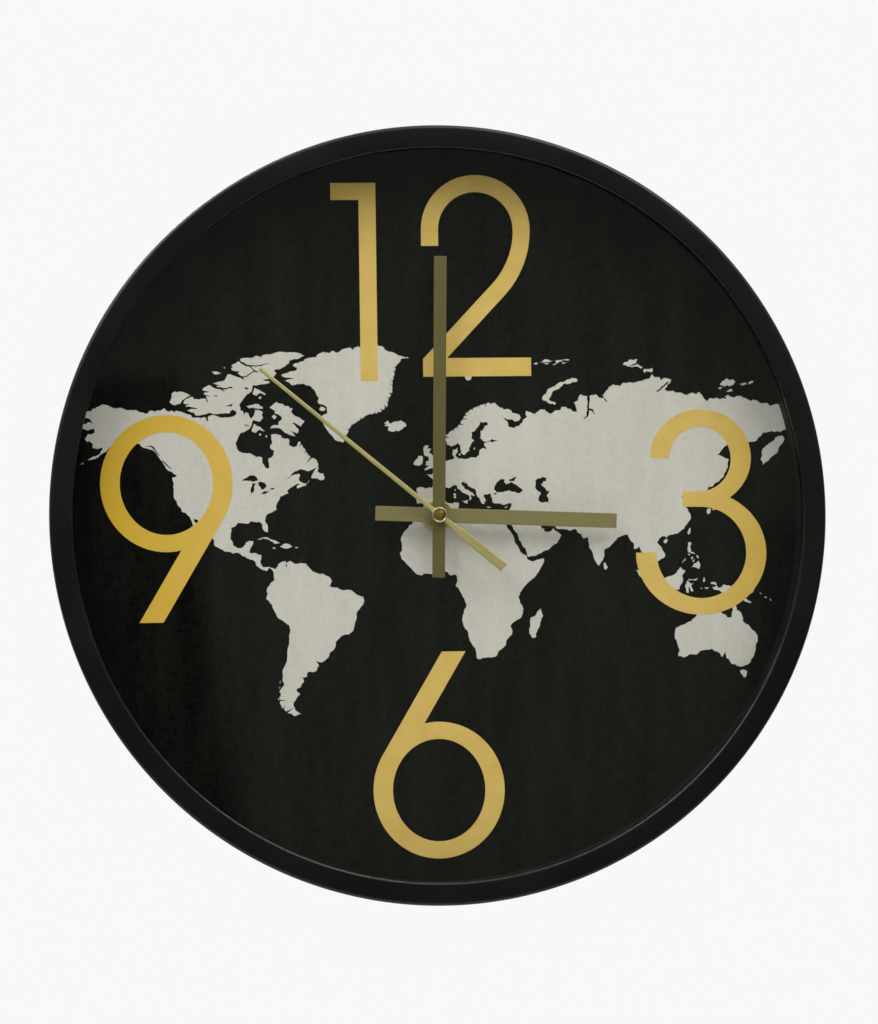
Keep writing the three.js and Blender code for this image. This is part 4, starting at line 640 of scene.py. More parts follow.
INLAND_SEAS = """
    28 43.3 28.7 44.5 30.5 46.2 31.8 46.5 33 46 32.6 45.4 33.6 44.5 35.2 44.9 36.6 45.2 38.2 44.4 41.2
    42.5 41.6 41.6 38.5 41 36.2 41.5 35 42 31.4 41.3 29.1 41.2 28 42.2; 35 45.6 35 46.3 37.5 47.1 39.2
    47.2 37.8 46.4 37.6 45.8 36.5 45.6; 27.3 40.6 28 41 29.1 40.9 28.9 40.4; 47.5 45.5 48.8 46.5 51.2
    47.1 53 46.8 52.8 45.4 51.2 45.2 51.2 44.5 50.3 44.4 51.7 43.2 52.5 42.6 52.9 41.8 54.5 41.7 53.9
    40.8 53 39.8 53.9 38.5 53.8 37 51 36.8 49 37.7 49.2 39.2 50.2 40.4 48.6 41.8 47.4 43.2; -71.9 10.3
    -71.3 10.5 -71.1 9.5 -71.8 9.4; -92 46.7 -90.5 47.6 -88.5 48.6 -86 48.7 -84.7 47.5 -84.6 46.7 -87.5
    46.6 -90.5 46.8; -88 42.5 -87.5 41.7 -86.4 42.5 -86.3 44 -85.2 45.7 -87.2 45.5 -87.8 44; -84.4 46
    -81.5 46 -80 44.7 -81.7 43.4 -82.5 43.2 -83.3 44.2; -83.3 41.7 -81.5 42.6 -79 42.8 -81.5 41.5; -79.7
    43.3 -77.5 43.9 -76.3 44 -77 43.3; west fine 815 745 890 720 950 705 930 740 880 735; west fine 700
    586 750 596 748 606 702 600; west fine 1100 484 1150 498 1150 512 1102 500; west fine 1105 964 1160
    982 1158 998 1102 982; fine 106.3 73.7 109.5 74.9 112.8 76.1 112.2 75.6 109.6 74.5 106.6 73.5; fine
    -137 59.3 -134.6 58.9 -132.6 57.4 -131 55.9 -130.5 56.1 -132.2 57.7 -134.3 59.3; fine -129.6 54.4
    -127.6 52.6 -125.6 51.3 -125.1 51.6 -127.2 53 -129.2 54.6"""
TURN = Matrix.Rotation(math.radians(PRINT_TURN), 2)
UPRIGHT = TURN.inverted()


def on_dial(sheet, across, up):
    """Where a point lies on the dial before the print is turned: on a sheet, or by the map's projection.
    Places beyond the edge of the dial are moved in to it."""
    if sheet in SHEETS:
        corner, step = SHEETS[sheet]
        return UPRIGHT @ (corner + step * Vector((across, up)))
    stretch = 1.25 * math.log(math.tan(math.pi / 4 + 0.4 * math.radians(up)))
    place = MAP_MIDDLE + Vector((MAP_ACROSS * across, MAP_UP * math.degrees(stretch)))
    return place * min(1.0, PRINT_EDGE / place.length)


def capes(text):
    """The places in a coast's text, each with the kind of coast that follows it."""
    found = []
    sheet = "earth"
    kind = "open"
    numbers = []
    for word in text.split():
        if word in ("earth", "west", "east"):
            sheet = word
        elif word in ("open", "fjords", "fine"):
            kind = word
        else:
            numbers.append(float(word))
        if len(numbers) == 2:
            found.append((on_dial(sheet, *numbers), kind))
            numbers = []
    return found


def broken_coast(start, end, share, chance):
    """Splits a stretch of coast until it is short, each middle moved aside by a share of the length."""
    step = end - start
    if step.length < FINEST_COAST:
        return [start]
    middle = (start + end) / 2 + Vector((-step.y, step.x)) * share * chance.uniform(-1, 1)
    return broken_coast(start, middle, share, chance) + broken_coast(middle, end, share, chance)


def fjords(start, end, inland, share, chance):
    """A stretch of coast with narrow inlets, most of them short."""
    step = end - start
    along = step.normalized()
    count = max(1, round(step.length / FJORD_SPACING))
    outline = []
    for number in range(count):
        mouth = start + step * (number + chance.uniform(*FJORD_PLACE)) / count
        half = along * chance.uniform(*FJORD_HALF_WIDTH)
        length = FJORD_SHORTEST + FJORD_SPREAD * chance.random() ** 2
        reach = inland * length + along * chance.uniform(-FJORD_LEAN, FJORD_LEAN)
        outline += broken_coast(start + step * number / count, mouth - half, share, chance)
        outline += [mouth - half, mouth + reach]
        outline += broken_coast(mouth + half, start + step * (number + 1) / count, share, chance)
    return outline


def keeps_clear(way, lines):
    """Whether a way crosses none of the lines and not itself. Ends that are shared don't count."""
    steps = list(zip(way, way[1:]))
    for start, end in steps:
        for first, last in lines + steps:
            shared = start == first or start == last or end == first or end == last
            if not shared and intersect_line_line_2d(start, end, first, last):
                return False
    return True


def coast(text, drawn, chance):
    """The broken outline of one land or sea. A stretch that would cross another is drawn straighter."""
    spots = capes(text)
    pairs = [(spot, kind, following) for (spot, kind), (following, _) in zip(spots, spots[1:] + spots[:1])]
    side = math.copysign(1.0, sum(spot.cross(following) for spot, _, following in pairs))
    ahead = [(spot, following) for spot, _, following in pairs]
    outline = []
    for number, (spot, kind, following) in enumerate(pairs):
        step = following - spot
        reach = step.length + NEARBY
        lines = [line for line in drawn + ahead[number + 1:]
                 if abs(line[0].x - spot.x) < reach and abs(line[0].y - spot.y) < reach]
        north = min(max((spot.y - NORTH_FROM) / NORTH_RANGE, 0.0), 1.0)
        most = FINE_SHARE if kind == "fine" else OPEN_SHARE + NORTHERN_SHARE * north
        if min(spot.length, following.length) > PRINT_EDGE - EDGE_SLACK:
            most = 0.0
        for share in (most, most / 2, most / 4, 0.0):
            if kind == "fjords" and share:
                way = fjords(spot, following, Vector((-step.y, step.x)).normalized() * side, share, chance)
            else:
                way = broken_coast(spot, following, share, chance)
            if keeps_clear(way + [following], lines):
                break
        outline += way
        drawn += zip(way, way[1:] + [following])
    return outline


def print_layer(name, outlines, front):
    """Fills flat outlines, with an outline inside another as a hole, as a thin layer of print."""
    curve = bpy.data.curves.new(name, "CURVE")
    curve.dimensions = "2D"
    curve.fill_mode = "BOTH"
    curve.extrude = PRINT_DEPTH / 2
    for outline in outlines:
        spline = curve.splines.new("POLY")
        spline.points.add(len(outline) - 1)
        for point, place in zip(spline.points, outline):
            turned = TURN @ place * PRINT_SCALE + PRINT_SHIFT
            point.co = (turned.x, turned.y, 0, 1)
        spline.use_cyclic_u = True
    piece = bpy.data.objects.new(name, curve)
    bpy.context.collection.objects.link(piece)
    only(piece)
    bpy.ops.object.convert(target="MESH")
    piece = bpy.context.object
    piece.location = (0, front - PRINT_DEPTH / 2, 0)
    piece.rotation_euler = (math.pi / 2, 0, 0)
    settle(piece)
    bpy.ops.object.mode_set(mode="EDIT")
    bpy.ops.mesh.select_all(action="SELECT")
    bpy.ops.mesh.remove_doubles(threshold=MERGE_DISTANCE)
    bpy.ops.mesh.normals_make_consistent(inside=False)
    bpy.ops.object.mode_set(mode="OBJECT")
    return piece


def drill(piece, radius, front, back, x=0.0, z=0.0, vertices=64):
    """Cuts a round hole right through a piece."""
    sink(piece, radius, front - CUT_PAST, back, x, z, vertices)


chance = random.Random(12)
drawn = []
texts = [*MAINLANDS.values(), *ISLANDS.split(";"), *INLAND_SEAS.split(";")]
coasts = [coast(text, drawn, chance) for text in texts]
world_map = print_layer("world_map", coasts, dial_front)
drill(world_map, SHAFT_HOLE, dial_front, dial_front)
map_print = printed("pale map print", (199, 196, 183), (210, 207, 195), (216, 213, 201), roughness=0.65)
dress(world_map, map_print, "case", "dial_print")

# Numerals: 12, 3, 6 and 9 in a thin geometric face, printed in gold over the map.
# Sizes are on the dial, in metres, before the print is turned. The 6 is the 9 turned half round.
ONE_TOP = 0.12925
ONE_FOOT = 0.0522
ONE_FLAG = (-0.0401, 0.1226)
ONE_STEM = (-0.0292, -0.02255)
TWO_BOWL = (0.0163, 0.1109)
TWO_BOWL_OUTER = 0.0213
TWO_BOWL_INNER = 0.0146
TWO_END = 0.1046
TWO_SIDE = (0.0, 0.1109)
TWO_SIDE_OUTER = 0.0376
TWO_SIDE_INNER = 0.0310
TWO_LEAN = -43.3
TWO_FOOT_LEFT = -0.00485
TWO_FOOT_RIGHT = 0.0374
TWO_FOOT_TOP = 0.0609
TWO_FOOT_BOTTOM = 0.0537
TWO_HEEL = 0.0606
TWO_NOTCH = 0.00455
NINE_PLACE = Vector((-0.10494, 0.01317))
SIX_PLACE = Vector((-0.00086, -0.1066))
NINE_ACROSS = 0.02555
NINE_UP = 0.02645
NINE_EYE_ACROSS = 0.0180
NINE_EYE_UP = 0.0198
TAIL_LEFT = Vector((-0.0110, -0.0536))
TAIL_RIGHT = Vector((-0.00175, -0.0536))
THREE_UPPER = ((0.1033, 0.0227), 0.0199, 0.01895)
THREE_LOWER = ((0.1035, -0.0145), 0.02575, 0.0241)
THREE_LOWER_EYE = ((0.10357, -0.0143), 0.0177, 0.0178)
THREE_UPPER_EYE = ((0.10305, 0.0222), 0.01215, 0.0126)
THREE_TONGUE = ((0.0962, 0.0035), (0.0962, 0.0096))
# Where the numerals' gold is painted deeper, as painted shade: from the left, and towards the right.
PAINTED_SHADE_LEFT = (-0.045, -0.135)
PAINTED_SHADE_RIGHT = (0.108, 0.132)


def bow(centre, across, up, first, last, steps):
    """Points on an ellipse, from one angle to another in degrees."""
    angles = [math.radians(first + (last - first) * i / steps) for i in range(steps + 1)]
    return [Vector((centre[0] + across * math.cos(a), centre[1] + up * math.sin(a))) for a in angles]


def corners(*pairs):
    """Corner points of an outline."""
    return [Vector(pair) for pair in pairs]


def in_ring(point):
    """A point in shares of the nine's ring, on which the ring is a circle of radius one."""
    return Vector((point.x / NINE_ACROSS, point.y / NINE_UP))


one = corners(
    (ONE_FLAG[0], ONE_TOP), (ONE_STEM[1], ONE_TOP), (ONE_STEM[1], ONE_FOOT), (ONE_STEM[0], ONE_FOOT),
    (ONE_STEM[0], ONE_FLAG[1]), ONE_FLAG)
two = (
    corners((TWO_BOWL[0] - TWO_BOWL_OUTER, TWO_END))
    + bow(TWO_BOWL, TWO_BOWL_OUTER, TWO_BOWL_OUTER, 180, 0, 32)
    + bow(TWO_SIDE, TWO_SIDE_OUTER, TWO_SIDE_OUTER, -3, TWO_LEAN, 14)
    + corners((TWO_NOTCH, TWO_FOOT_TOP), (TWO_FOOT_RIGHT, TWO_FOOT_TOP), (TWO_FOOT_RIGHT, TWO_FOOT_BOTTOM),
              (TWO_FOOT_LEFT, TWO_FOOT_BOTTOM), (TWO_FOOT_LEFT, TWO_HEEL))
    + bow(TWO_SIDE, TWO_SIDE_INNER, TWO_SIDE_INNER, TWO_LEAN, -3, 14)
    + bow(TWO_BOWL, TWO_BOWL_INNER, TWO_BOWL_INNER, 0, 180, 32)
    + corners((TWO_BOWL[0] - TWO_BOWL_INNER, TWO_END)))

# The nine's tail touches its ring on the right and meets it on the left, with both sides parallel.
corner = in_ring(TAIL_RIGHT)
touch = math.degrees(math.atan2(corner.y, corner.x) + math.acos(1 / corner.length))
start = in_ring(TAIL_LEFT)
run = in_ring(bow((0, 0), NINE_ACROSS, NINE_UP, touch, touch, 1)[0] - TAIL_RIGHT)
share = -start.dot(run) / run.length_squared
share -= math.sqrt(share * share - (start.length_squared - 1) / run.length_squared)
meet = start + run * share
meeting = math.degrees(math.atan2(meet.y, meet.x)) % 360
ring = bow((0, 0), NINE_ACROSS, NINE_UP, touch, meeting, 72) + [TAIL_LEFT, TAIL_RIGHT]
eye = bow((0, 0), NINE_EYE_ACROSS, NINE_EYE_UP, 0, 354, 59)
nine = [[NINE_PLACE + point for point in outline] for outline in (ring, eye)]
six = [[SIX_PLACE - point for point in outline] for outline in (ring, eye)]

three = (
    bow(*THREE_UPPER, 180, -55, 48) + bow(*THREE_LOWER, 64.2, -180, 56)
    + bow(*THREE_LOWER_EYE, -180, 90, 56) + corners(*THREE_TONGUE) + bow(*THREE_UPPER_EYE, -90, 180, 48))
three = [UPRIGHT @ point for point in three]
numerals = print_layer("numerals", [one, two, *nine, *six, three], dial_front - PRINT_DEPTH)

gold_print, tree, shader = new_material("gold numeral print")
place = add_node(tree, "ShaderNodeTexCoord").outputs["Object"]
cloud = ramp(tree, noise(tree, place, scale=120.0, detail=4.0), 0.3, 0.7)
colour = blend(tree, cloud, tint(212, 179, 93), tint(221, 190, 107))
# Painted shade: the gold is painted deeper and more saturated towards the left and right of the dial,
# standing in for the print's weaker sheen there.
across = add_node(tree, "ShaderNodeSeparateXYZ", {0: place}).outputs["X"]
left = ramp(tree, across, *PAINTED_SHADE_LEFT)
right = ramp(tree, across, *PAINTED_SHADE_RIGHT, high=0.5)
edge = reckon(tree, "ADD", left, right)
gold_with_painted_shade = blend(tree, edge, colour, tint(218, 177, 52))
feed(tree, shader, {"Base Color": gold_with_painted_shade, "Roughness": 0.6, "Specular IOR Level": 0.05})
dress(numerals, gold_print, "case", "dial_print")

# Hour and minute hands: bars stamped from thin brass sheet, brushed along their length and lacquered.
# The hour hand widens to a round hub, and each is pressed on its tube.
HOUR_LENGTH = 0.0695
HOUR_TAIL = 0.0245
HOUR_WIDTH = 0.0057
HOUR_HUB = 0.0054
HUB_STEP = 0.00015
HOUR_BORE = 0.0025
HOUR_ANGLE = 91.6
MINUTE_LENGTH = 0.1001
MINUTE_TAIL = 0.0242
MINUTE_WIDTH = 0.0049
MINUTE_BORE = 0.0017
MINUTE_ANGLE = 0.3
STAMPED_EDGE = 0.00022
STREAKS = (2600.0, 2600.0, 40.0)
STREAK_DEPTH = 0.000006
HAND_METAL = {"spread": 0.6, "metallic": 0.5}


def block(name, low, high):
    """A box between two corners."""
    bpy.ops.object.select_all(action="DESELECT")
    bpy.ops.mesh.primitive_cube_add(size=1, location=[(a + b) / 2 for a, b in zip(low, high)])
    piece = bpy.context.object
    piece.name = name
    piece.scale = [b - a for a, b in zip(low, high)]
    settle(piece)
    return piece


def shade_flat_faces(piece, angle=30):
    """Shades a piece smooth, with its large flat faces kept even."""
    smooth(piece, angle)
    flat = piece.modifiers.new("flat faces", "WEIGHTED_NORMAL")
    flat.keep_sharp = True
    bpy.ops.object.modifier_apply(modifier=flat.name)


def soften(piece, width, segments=2, angle=30):
    """Rounds every edge that is sharper than the angle, and shades the piece."""
    only(piece)
    bevel = piece.modifiers.new("soft edges", "BEVEL")
    bevel.width = width
    bevel.segments = segments
    bevel.limit_method = "ANGLE"
    bevel.angle_limit = math.radians(angle)
    bpy.ops.object.modifier_apply(modifier=bevel.name)
    shade_flat_faces(piece, angle)


def turn_to(piece, degrees):
    """Turns a piece clockwise from twelve, as seen from the front."""
    piece.rotation_euler = (0, math.radians(degrees), 0)
    settle(piece)


def brushed_group():
    """Brushed metal: fine streaks along Z of the place that is given."""
    group, given = new_group("brushed metal", {
        "Place": "Vector", "Dark": "Color", "Light": "Color", "Smooth": "Float", "Rough": "Float"},
        {"Color": "Color", "Roughness": "Float", "Height": "Float"})
    along = drawn_out(group, given["Place"], STREAKS)
    streak = noise(group, along, scale=1.0, detail=4.0, roughness=0.65)
    colour = blend(group, ramp(group, streak, 0.25, 0.75), given["Dark"], given["Light"])
    gloss = ramp(group, streak, 0.25, 0.75, given["Smooth"], given["Rough"])
    add_node(group, "NodeGroupOutput", {"Color": colour, "Roughness": gloss, "Height": streak})
    return group


brushed_metal = brushed_group()


def brushed(name, dark, light, gloss, degrees=0.0, spread=0.0, metallic=1.0):
    """Brushed metal with its streaks turned clockwise from upright, which spread its gloss across them."""
    material, tree, shader = new_material(name)
    turn = math.radians(degrees)
    place = add_node(tree, "ShaderNodeTexCoord").outputs["Object"]
    turned = add_node(tree, "ShaderNodeMapping", {"Vector": place, "Rotation": (0, -turn, 0)}).outputs[0]
    metal = add_node(tree, "ShaderNodeGroup", {
        "Place": turned, "Dark": tint(*dark), "Light": tint(*light), "Smooth": gloss[0],
        "Rough": gloss[1]}, node_tree=brushed_metal).outputs
    bump = add_node(tree, "ShaderNodeBump", {"Height": metal["Height"], "Distance": STREAK_DEPTH})
    across = add_node(tree, "ShaderNodeVectorTransform", {
        0: (math.cos(turn), 0, -math.sin(turn))},
        vector_type="VECTOR", convert_from="OBJECT", convert_to="WORLD")
    feed(tree, shader, {
        "Base Color": metal["Color"], "Roughness": metal["Roughness"], "Normal": bump.outputs[0],
        "Metallic": metallic, "Anisotropic": spread, "Tangent": across.outputs[0]})
    return material


low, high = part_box("hour_hand")
hour = block("hour_hand_bar", (-HOUR_WIDTH / 2, low.y + HUB_STEP, -HOUR_TAIL),
             (HOUR_WIDTH / 2, high.y, HOUR_LENGTH))
soften(hour, STAMPED_EDGE)
hub = spin_profile("hub", (
    [(0.0, low.y)]
    + arc((HOUR_HUB - STAMPED_EDGE, low.y + STAMPED_EDGE), STAMPED_EDGE, 270, 360, 4)
    + [(HOUR_HUB, high.y), (0.0, high.y)]), steps=96)
combine(hour, hub, "UNION")
drill(hour, HOUR_BORE, low.y, high.y)
shade_flat_faces(hour)
turn_to(hour, HOUR_ANGLE)
hour_gold = brushed(
    "brushed gold, hour hand", (123, 116, 70), (137, 130, 82),
    gloss=(0.55, 0.65), degrees=HOUR_ANGLE, **HAND_METAL)
dress(hour, hour_gold, "hour", "hand_gold", "hour_hand")

low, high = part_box("minute_hand")
minute = block("minute_hand_bar", (-MINUTE_WIDTH / 2, low.y, -MINUTE_TAIL),
               (MINUTE_WIDTH / 2, high.y, MINUTE_LENGTH))
drill(minute, MINUTE_BORE, low.y, high.y)
soften(minute, STAMPED_EDGE)
turn_to(minute, MINUTE_ANGLE)
# Painted shade: the minute hand's gold is painted darker than the hour hand's, though both hands are the
# same brushed brass.
minute_gold_painted_darker = brushed(
    "brushed gold painted darker, minute hand", (103, 96, 52), (114, 107, 60),
    gloss=(0.55, 0.65), degrees=MINUTE_ANGLE, **HAND_METAL)
dress(minute, minute_gold_painted_darker, "minute", "hand_gold", "minute_hand")

# Second hand: a tapered needle of thin brass sheet with a broader counterweight, riveted in a
# pressed brass cap that has a rolled rim and a low dome with a centre mark sunk in its middle.
SECOND_LENGTH = 0.0893
SECOND_TAIL = 0.0322
SECOND_ROOT = 0.0019
ROOT_END = 0.0035
SECOND_TIP = 0.0014
WEIGHT_LENGTH = 0.0215
WEIGHT_WIDTH = 0.0036
WEIGHT_SHOULDER = 0.0009
SECOND_NECK = 0.0026
SECOND_ANGLE = 308.9
SECOND_BORE = 0.0006
NEEDLE_BEVEL = 0.00034
BEVEL_DEPTH = 0.00012
NEEDLE_ROUND = 0.00005
CAP_RADIUS = 0.0030
CAP_RIM = 0.00065
CAP_SUNK = 0.0006
CAP_ROUND = 0.00025
DOME_EDGE = 0.0021
DOME_RISE = 0.00042
CENTRE_MARK = 0.00045
MARK_DEPTH = 0.00012
low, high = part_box("second_hand")
needle_outline = corners(
    (-SECOND_TIP / 2, SECOND_LENGTH), (SECOND_TIP / 2, SECOND_LENGTH), (SECOND_ROOT / 2, 0.0),
    (SECOND_ROOT / 2, -ROOT_END), (SECOND_NECK / 2, WEIGHT_LENGTH + WEIGHT_SHOULDER - SECOND_TAIL),
    (WEIGHT_WIDTH / 2, WEIGHT_LENGTH - SECOND_TAIL), (WEIGHT_WIDTH / 2, -SECOND_TAIL))
needle_outline += [Vector((-point.x, point.y)) for point in reversed(needle_outline[2:])]
bpy.ops.object.select_all(action="DESELECT")
bpy.ops.mesh.primitive_circle_add(vertices=len(needle_outline), fill_type="NGON")
needle = bpy.context.object
needle.name = "second_hand_needle"
for vertex, point in zip(needle.data.vertices, needle_outline):
    vertex.co = (point.x, low.y + BEVEL_DEPTH, point.y)
bpy.ops.object.mode_set(mode="EDIT")
bpy.ops.mesh.select_all(action="SELECT")
bpy.ops.mesh.extrude_region_move(TRANSFORM_OT_translate={"value": (0, high.y - low.y - BEVEL_DEPTH, 0)})
bpy.ops.mesh.select_all(action="SELECT")
bpy.ops.mesh.normals_make_consistent(inside=False)
bpy.ops.mesh.select_all(action="DESELECT")
bpy.ops.mesh.select_mode(type="FACE")
bpy.ops.object.mode_set(mode="OBJECT")
for polygon in needle.data.polygons:
    polygon.select = polygon.normal.y < -0.9
bpy.ops.object.mode_set(mode="EDIT")
bpy.ops.mesh.inset(thickness=NEEDLE_BEVEL, depth=BEVEL_DEPTH)
bpy.ops.mesh.select_mode(type="VERT")
bpy.ops.object.mode_set(mode="OBJECT")
drill(needle, SECOND_BORE, low.y, high.y, vertices=24)
soften(needle, NEEDLE_ROUND, segments=1, angle=12)
turn_to(needle, SECOND_ANGLE)
second_gold = brushed(
    "brushed gold, second hand", (165, 155, 96), (182, 172, 112),
    gloss=(0.5, 0.6), degrees=SECOND_ANGLE, **HAND_METAL)
dress(needle, second_gold, "second", "second_gold", "second_hand")

low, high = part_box("second_hand_cap")
dome_radius = (DOME_EDGE ** 2 + DOME_RISE ** 2) / (2 * DOME_RISE)
dome_spread = math.degrees(math.asin(DOME_EDGE / dome_radius))
dome_front = low.y + CAP_SUNK - DOME_RISE
dome_centre = (0.0, dome_front + dome_radius)
mark_spread = math.degrees(math.asin(CENTRE_MARK / dome_radius))
cap = spin_profile("second_hand_boss", (
    [(0.0, dome_front + MARK_DEPTH), (CENTRE_MARK - MARK_DEPTH, dome_front + MARK_DEPTH)]
    + arc(dome_centre, dome_radius, 270 + mark_spread, 270 + dome_spread, 10)
    + [(CAP_RADIUS - CAP_RIM, low.y + CAP_SUNK)]
    + arc((CAP_RADIUS - CAP_RIM + CAP_ROUND, low.y + CAP_ROUND), CAP_ROUND, 180, 270, 5)
    + arc((CAP_RADIUS - CAP_ROUND, low.y + CAP_ROUND), CAP_ROUND, 270, 360, 5)
    + [(CAP_RADIUS, high.y), (0.0, high.y)]), steps=64)
smooth(cap, angle=40)


def within(tree, place, across, radius):
    """1 near an axis, nearer than the radius, and 0 beyond. Across is 0 along the axis and 1 elsewhere."""
    flat = drawn_out(tree, place, across)
    away = add_node(tree, "ShaderNodeVectorMath", {0: flat}, operation="LENGTH").outputs["Value"]
    return reckon(tree, "LESS_THAN", away, radius)


cap_brass = brushed("pressed brass cap", (228, 216, 164), (246, 236, 192), gloss=(0.2, 0.3), metallic=0.9)
tree = cap_brass.node_tree
shader = tree.nodes["Principled BSDF"]
place = add_node(tree, "ShaderNodeTexCoord").outputs["Object"]
# Painted shade: the sunk dome inside the rim is painted a darker, duller gold than the rim, though the cap
# is one piece of brass.
sunk = within(tree, place, (1, 0, 1), CAP_RADIUS - CAP_RIM)
rim_colour = shader.inputs["Base Color"].links[0].from_socket
feed(tree, shader, {"Base Color": blend(tree, sunk, rim_colour, tint(188, 164, 72))})
dress(cap, cap_brass, "second", "cap_brass", "second_hand_cap")

# Fixing of the movement: a turned brass washer and a hexagon nut on the bush's thread clamp the dial,
# the back plate and the movement. The washer's edge shows behind the hour hand.
WASHER_RADIUS = 0.0063
WASHER_EDGE = 0.00018
NUT_CHAMFER = 0.0003
NUT_THREAD = 0.0040
low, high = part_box("brass_washer")
washer = spin_profile("washer_brass", [
    (SHAFT_HOLE, low.y), (WASHER_RADIUS - WASHER_EDGE, low.y), (WASHER_RADIUS, low.y + WASHER_EDGE),
    (WASHER_RADIUS, high.y), (SHAFT_HOLE, high.y)], steps=96)
smooth(washer)
brass = brushed("turned brass", (214, 184, 130), (230, 204, 152), gloss=(0.35, 0.45), metallic=0.5)
dress(washer, brass, "case", "brass", "brass_washer")

low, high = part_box("shaft_nut")
nut = rod("nut_hexagon", high.x, low.y, high.y, vertices=6)
turn_to(nut, 30)
drill(nut, NUT_THREAD, low.y, high.y)
soften(nut, NUT_CHAMFER)
dress(nut, brass, "case", "brass", "shaft_nut")

# Back plate: a moulded black disc that carries the dial and the movement and closes the frame.
# A ring and twelve spokes stiffen it, six screws hold it to the frame's bosses, and the pins that
# pushed it out of its mould have left round marks between the spokes.
PLATE_THICKNESS = 0.0026
RING_INNER = 0.04824
RING_OUTER = 0.04984
RIB_WIDTH = 0.0016
RIB_END = 0.1428
RIB_ROOT = 0.0010
RIB_LAP = 0.0008
RIB_COUNT = 12
SCREW_HOLE = 0.0014
PLATE_EDGE = 0.0003
PLATE_ROUND = 0.00015
PIN_MARK = 0.0032
PIN_MARK_DEPTH = 0.00025
PIN_MARK_CIRCLES = (0.078, 0.122)
low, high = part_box("back_plate")
plate_back = low.y + PLATE_THICKNESS
rib_front = plate_back - RIB_ROOT
plate = spin_profile("rear_plate", [
    (SHAFT_HOLE, low.y), (high.x - PLATE_EDGE, low.y), (high.x, low.y + PLATE_EDGE),
    (high.x, plate_back - PLATE_EDGE), (high.x - PLATE_EDGE, plate_back),
    (SHAFT_HOLE, plate_back)], steps=192)
ring_rib = spin_profile("ring_rib", [
    (RING_INNER, rib_front), (RING_OUTER, rib_front), (RING_OUTER, high.y),
    (RING_INNER, high.y)], steps=128)
for number in range(RIB_COUNT):
    rib = block("rib", (RING_OUTER - RIB_LAP, rib_front, -RIB_WIDTH / 2), (RIB_END, high.y, RIB_WIDTH / 2))
    turn_to(rib, (number + 0.5) * 360 / RIB_COUNT)
    combine(ring_rib, rib, "UNION")
combine(plate, ring_rib, "UNION")
for x, z in boss_places:
    drill(plate, SCREW_HOLE, low.y, high.y, x, z, vertices=32)
for circle in PIN_MARK_CIRCLES:
    for number in range(RIB_COUNT):
        angle = math.tau * number / RIB_COUNT
        x = circle * math.sin(angle)
        z = circle * math.cos(angle)
        sink(plate, PIN_MARK, plate_back - PIN_MARK_DEPTH, high.y, x, z, vertices=32)
soften(plate, PLATE_ROUND, segments=1, angle=40)
back_plastic = moulded(
    "black back plastic", (26, 26, 27), (36, 36, 36),
    gloss=(0.45, 0.6), scale=700.0, depth=0.00004, dust=0.12)
dress(plate, back_plastic, "case", "back_plastic", "back_plate")

# Plate screws: zinc-plated steel screws with a pan head and a cross recess, driven through the back
# plate into the frame's bosses. One is turned and cut, and the others are copies of it.
HEAD_RADIUS = 0.0023
HEAD_EDGE = 0.0008
HEAD_FLAT = 0.0014
HEAD_ROUND = (0.0005, 0.0002)
HEAD_GAP = 0.0001
SHANK_RADIUS = 0.0011
POINT_LENGTH = 0.0008
RECESS_ARM = 0.0011
RECESS_HALF_WIDTH = 0.00028
RECESS_DEPTH = 0.0009
low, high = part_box("plate_screw_1")
head_front = plate_back + HEAD_GAP
pattern = spin_profile("screw", [
    (0.0, high.y), (HEAD_FLAT, high.y), (HEAD_FLAT + HEAD_ROUND[0], high.y - HEAD_ROUND[1]),
    (HEAD_RADIUS, high.y - HEAD_EDGE), (HEAD_RADIUS, head_front), (SHANK_RADIUS, head_front),
    (SHANK_RADIUS, low.y + POINT_LENGTH), (0.0, low.y)], steps=40)
for across, up in ((RECESS_ARM, RECESS_HALF_WIDTH), (RECESS_HALF_WIDTH, RECESS_ARM)):
    arm = block("recess", (-across, high.y - RECESS_DEPTH, -up), (across, high.y + CUT_PAST, up))
    combine(pattern, arm, "DIFFERENCE")
steel = brushed("zinc-plated steel", (168, 170, 172), (206, 207, 208), gloss=(0.3, 0.42), degrees=90)
for number, (x, z) in enumerate(boss_places, 1):
    screw = bpy.data.objects.new(f"screw_{number}", pattern.data.copy())
    bpy.context.collection.objects.link(screw)
    screw.location = (x, 0, z)
    settle(screw)
    smooth(screw, angle=35)
    dress(screw, steel, "case", "steel", f"plate_screw_{number}")
bpy.data.objects.remove(pattern)

# Movement: a two-part moulded case with a hanging loop, an open battery bay and a setting knob.
# The case parts are the solids of the part with their edges softened, as moulded edges are. A plus and
# a minus above the bay show how the cell goes in, and the knob turns in a shallow round.
CASE_ROUND = 0.0003
KNOB_EDGE = 0.00015
FLAT_ANGLE = 1
SIGN_LENGTH = 0.0030
SIGN_STROKE = 0.0008
SIGN_RISE = 0.0003
SIGN_ROOT = 0.0002
SIGN_ASIDE = 0.0253
SIGN_ABOVE_CELL = 0.0024
KNOB_ROUND = 0.0072
KNOB_ROUND_DEPTH = 0.0005


def softened_copy(node, name, width):
    """A copy of a solid of the part with its flat faces joined and its edges rounded."""
    piece = bpy.data.objects.new(name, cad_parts[node].data.copy())
    bpy.context.collection.objects.link(piece)
    only(piece)
    bpy.ops.mesh.customdata_custom_splitnormals_clear()
    bpy.ops.object.mode_set(mode="EDIT")
    bpy.ops.mesh.select_all(action="SELECT")
    bpy.ops.mesh.remove_doubles(threshold=MERGE_DISTANCE)
    bpy.ops.mesh.dissolve_limited(angle_limit=math.radians(FLAT_ANGLE))
    bpy.ops.object.mode_set(mode="OBJECT")
    soften(piece, width)
    return piece


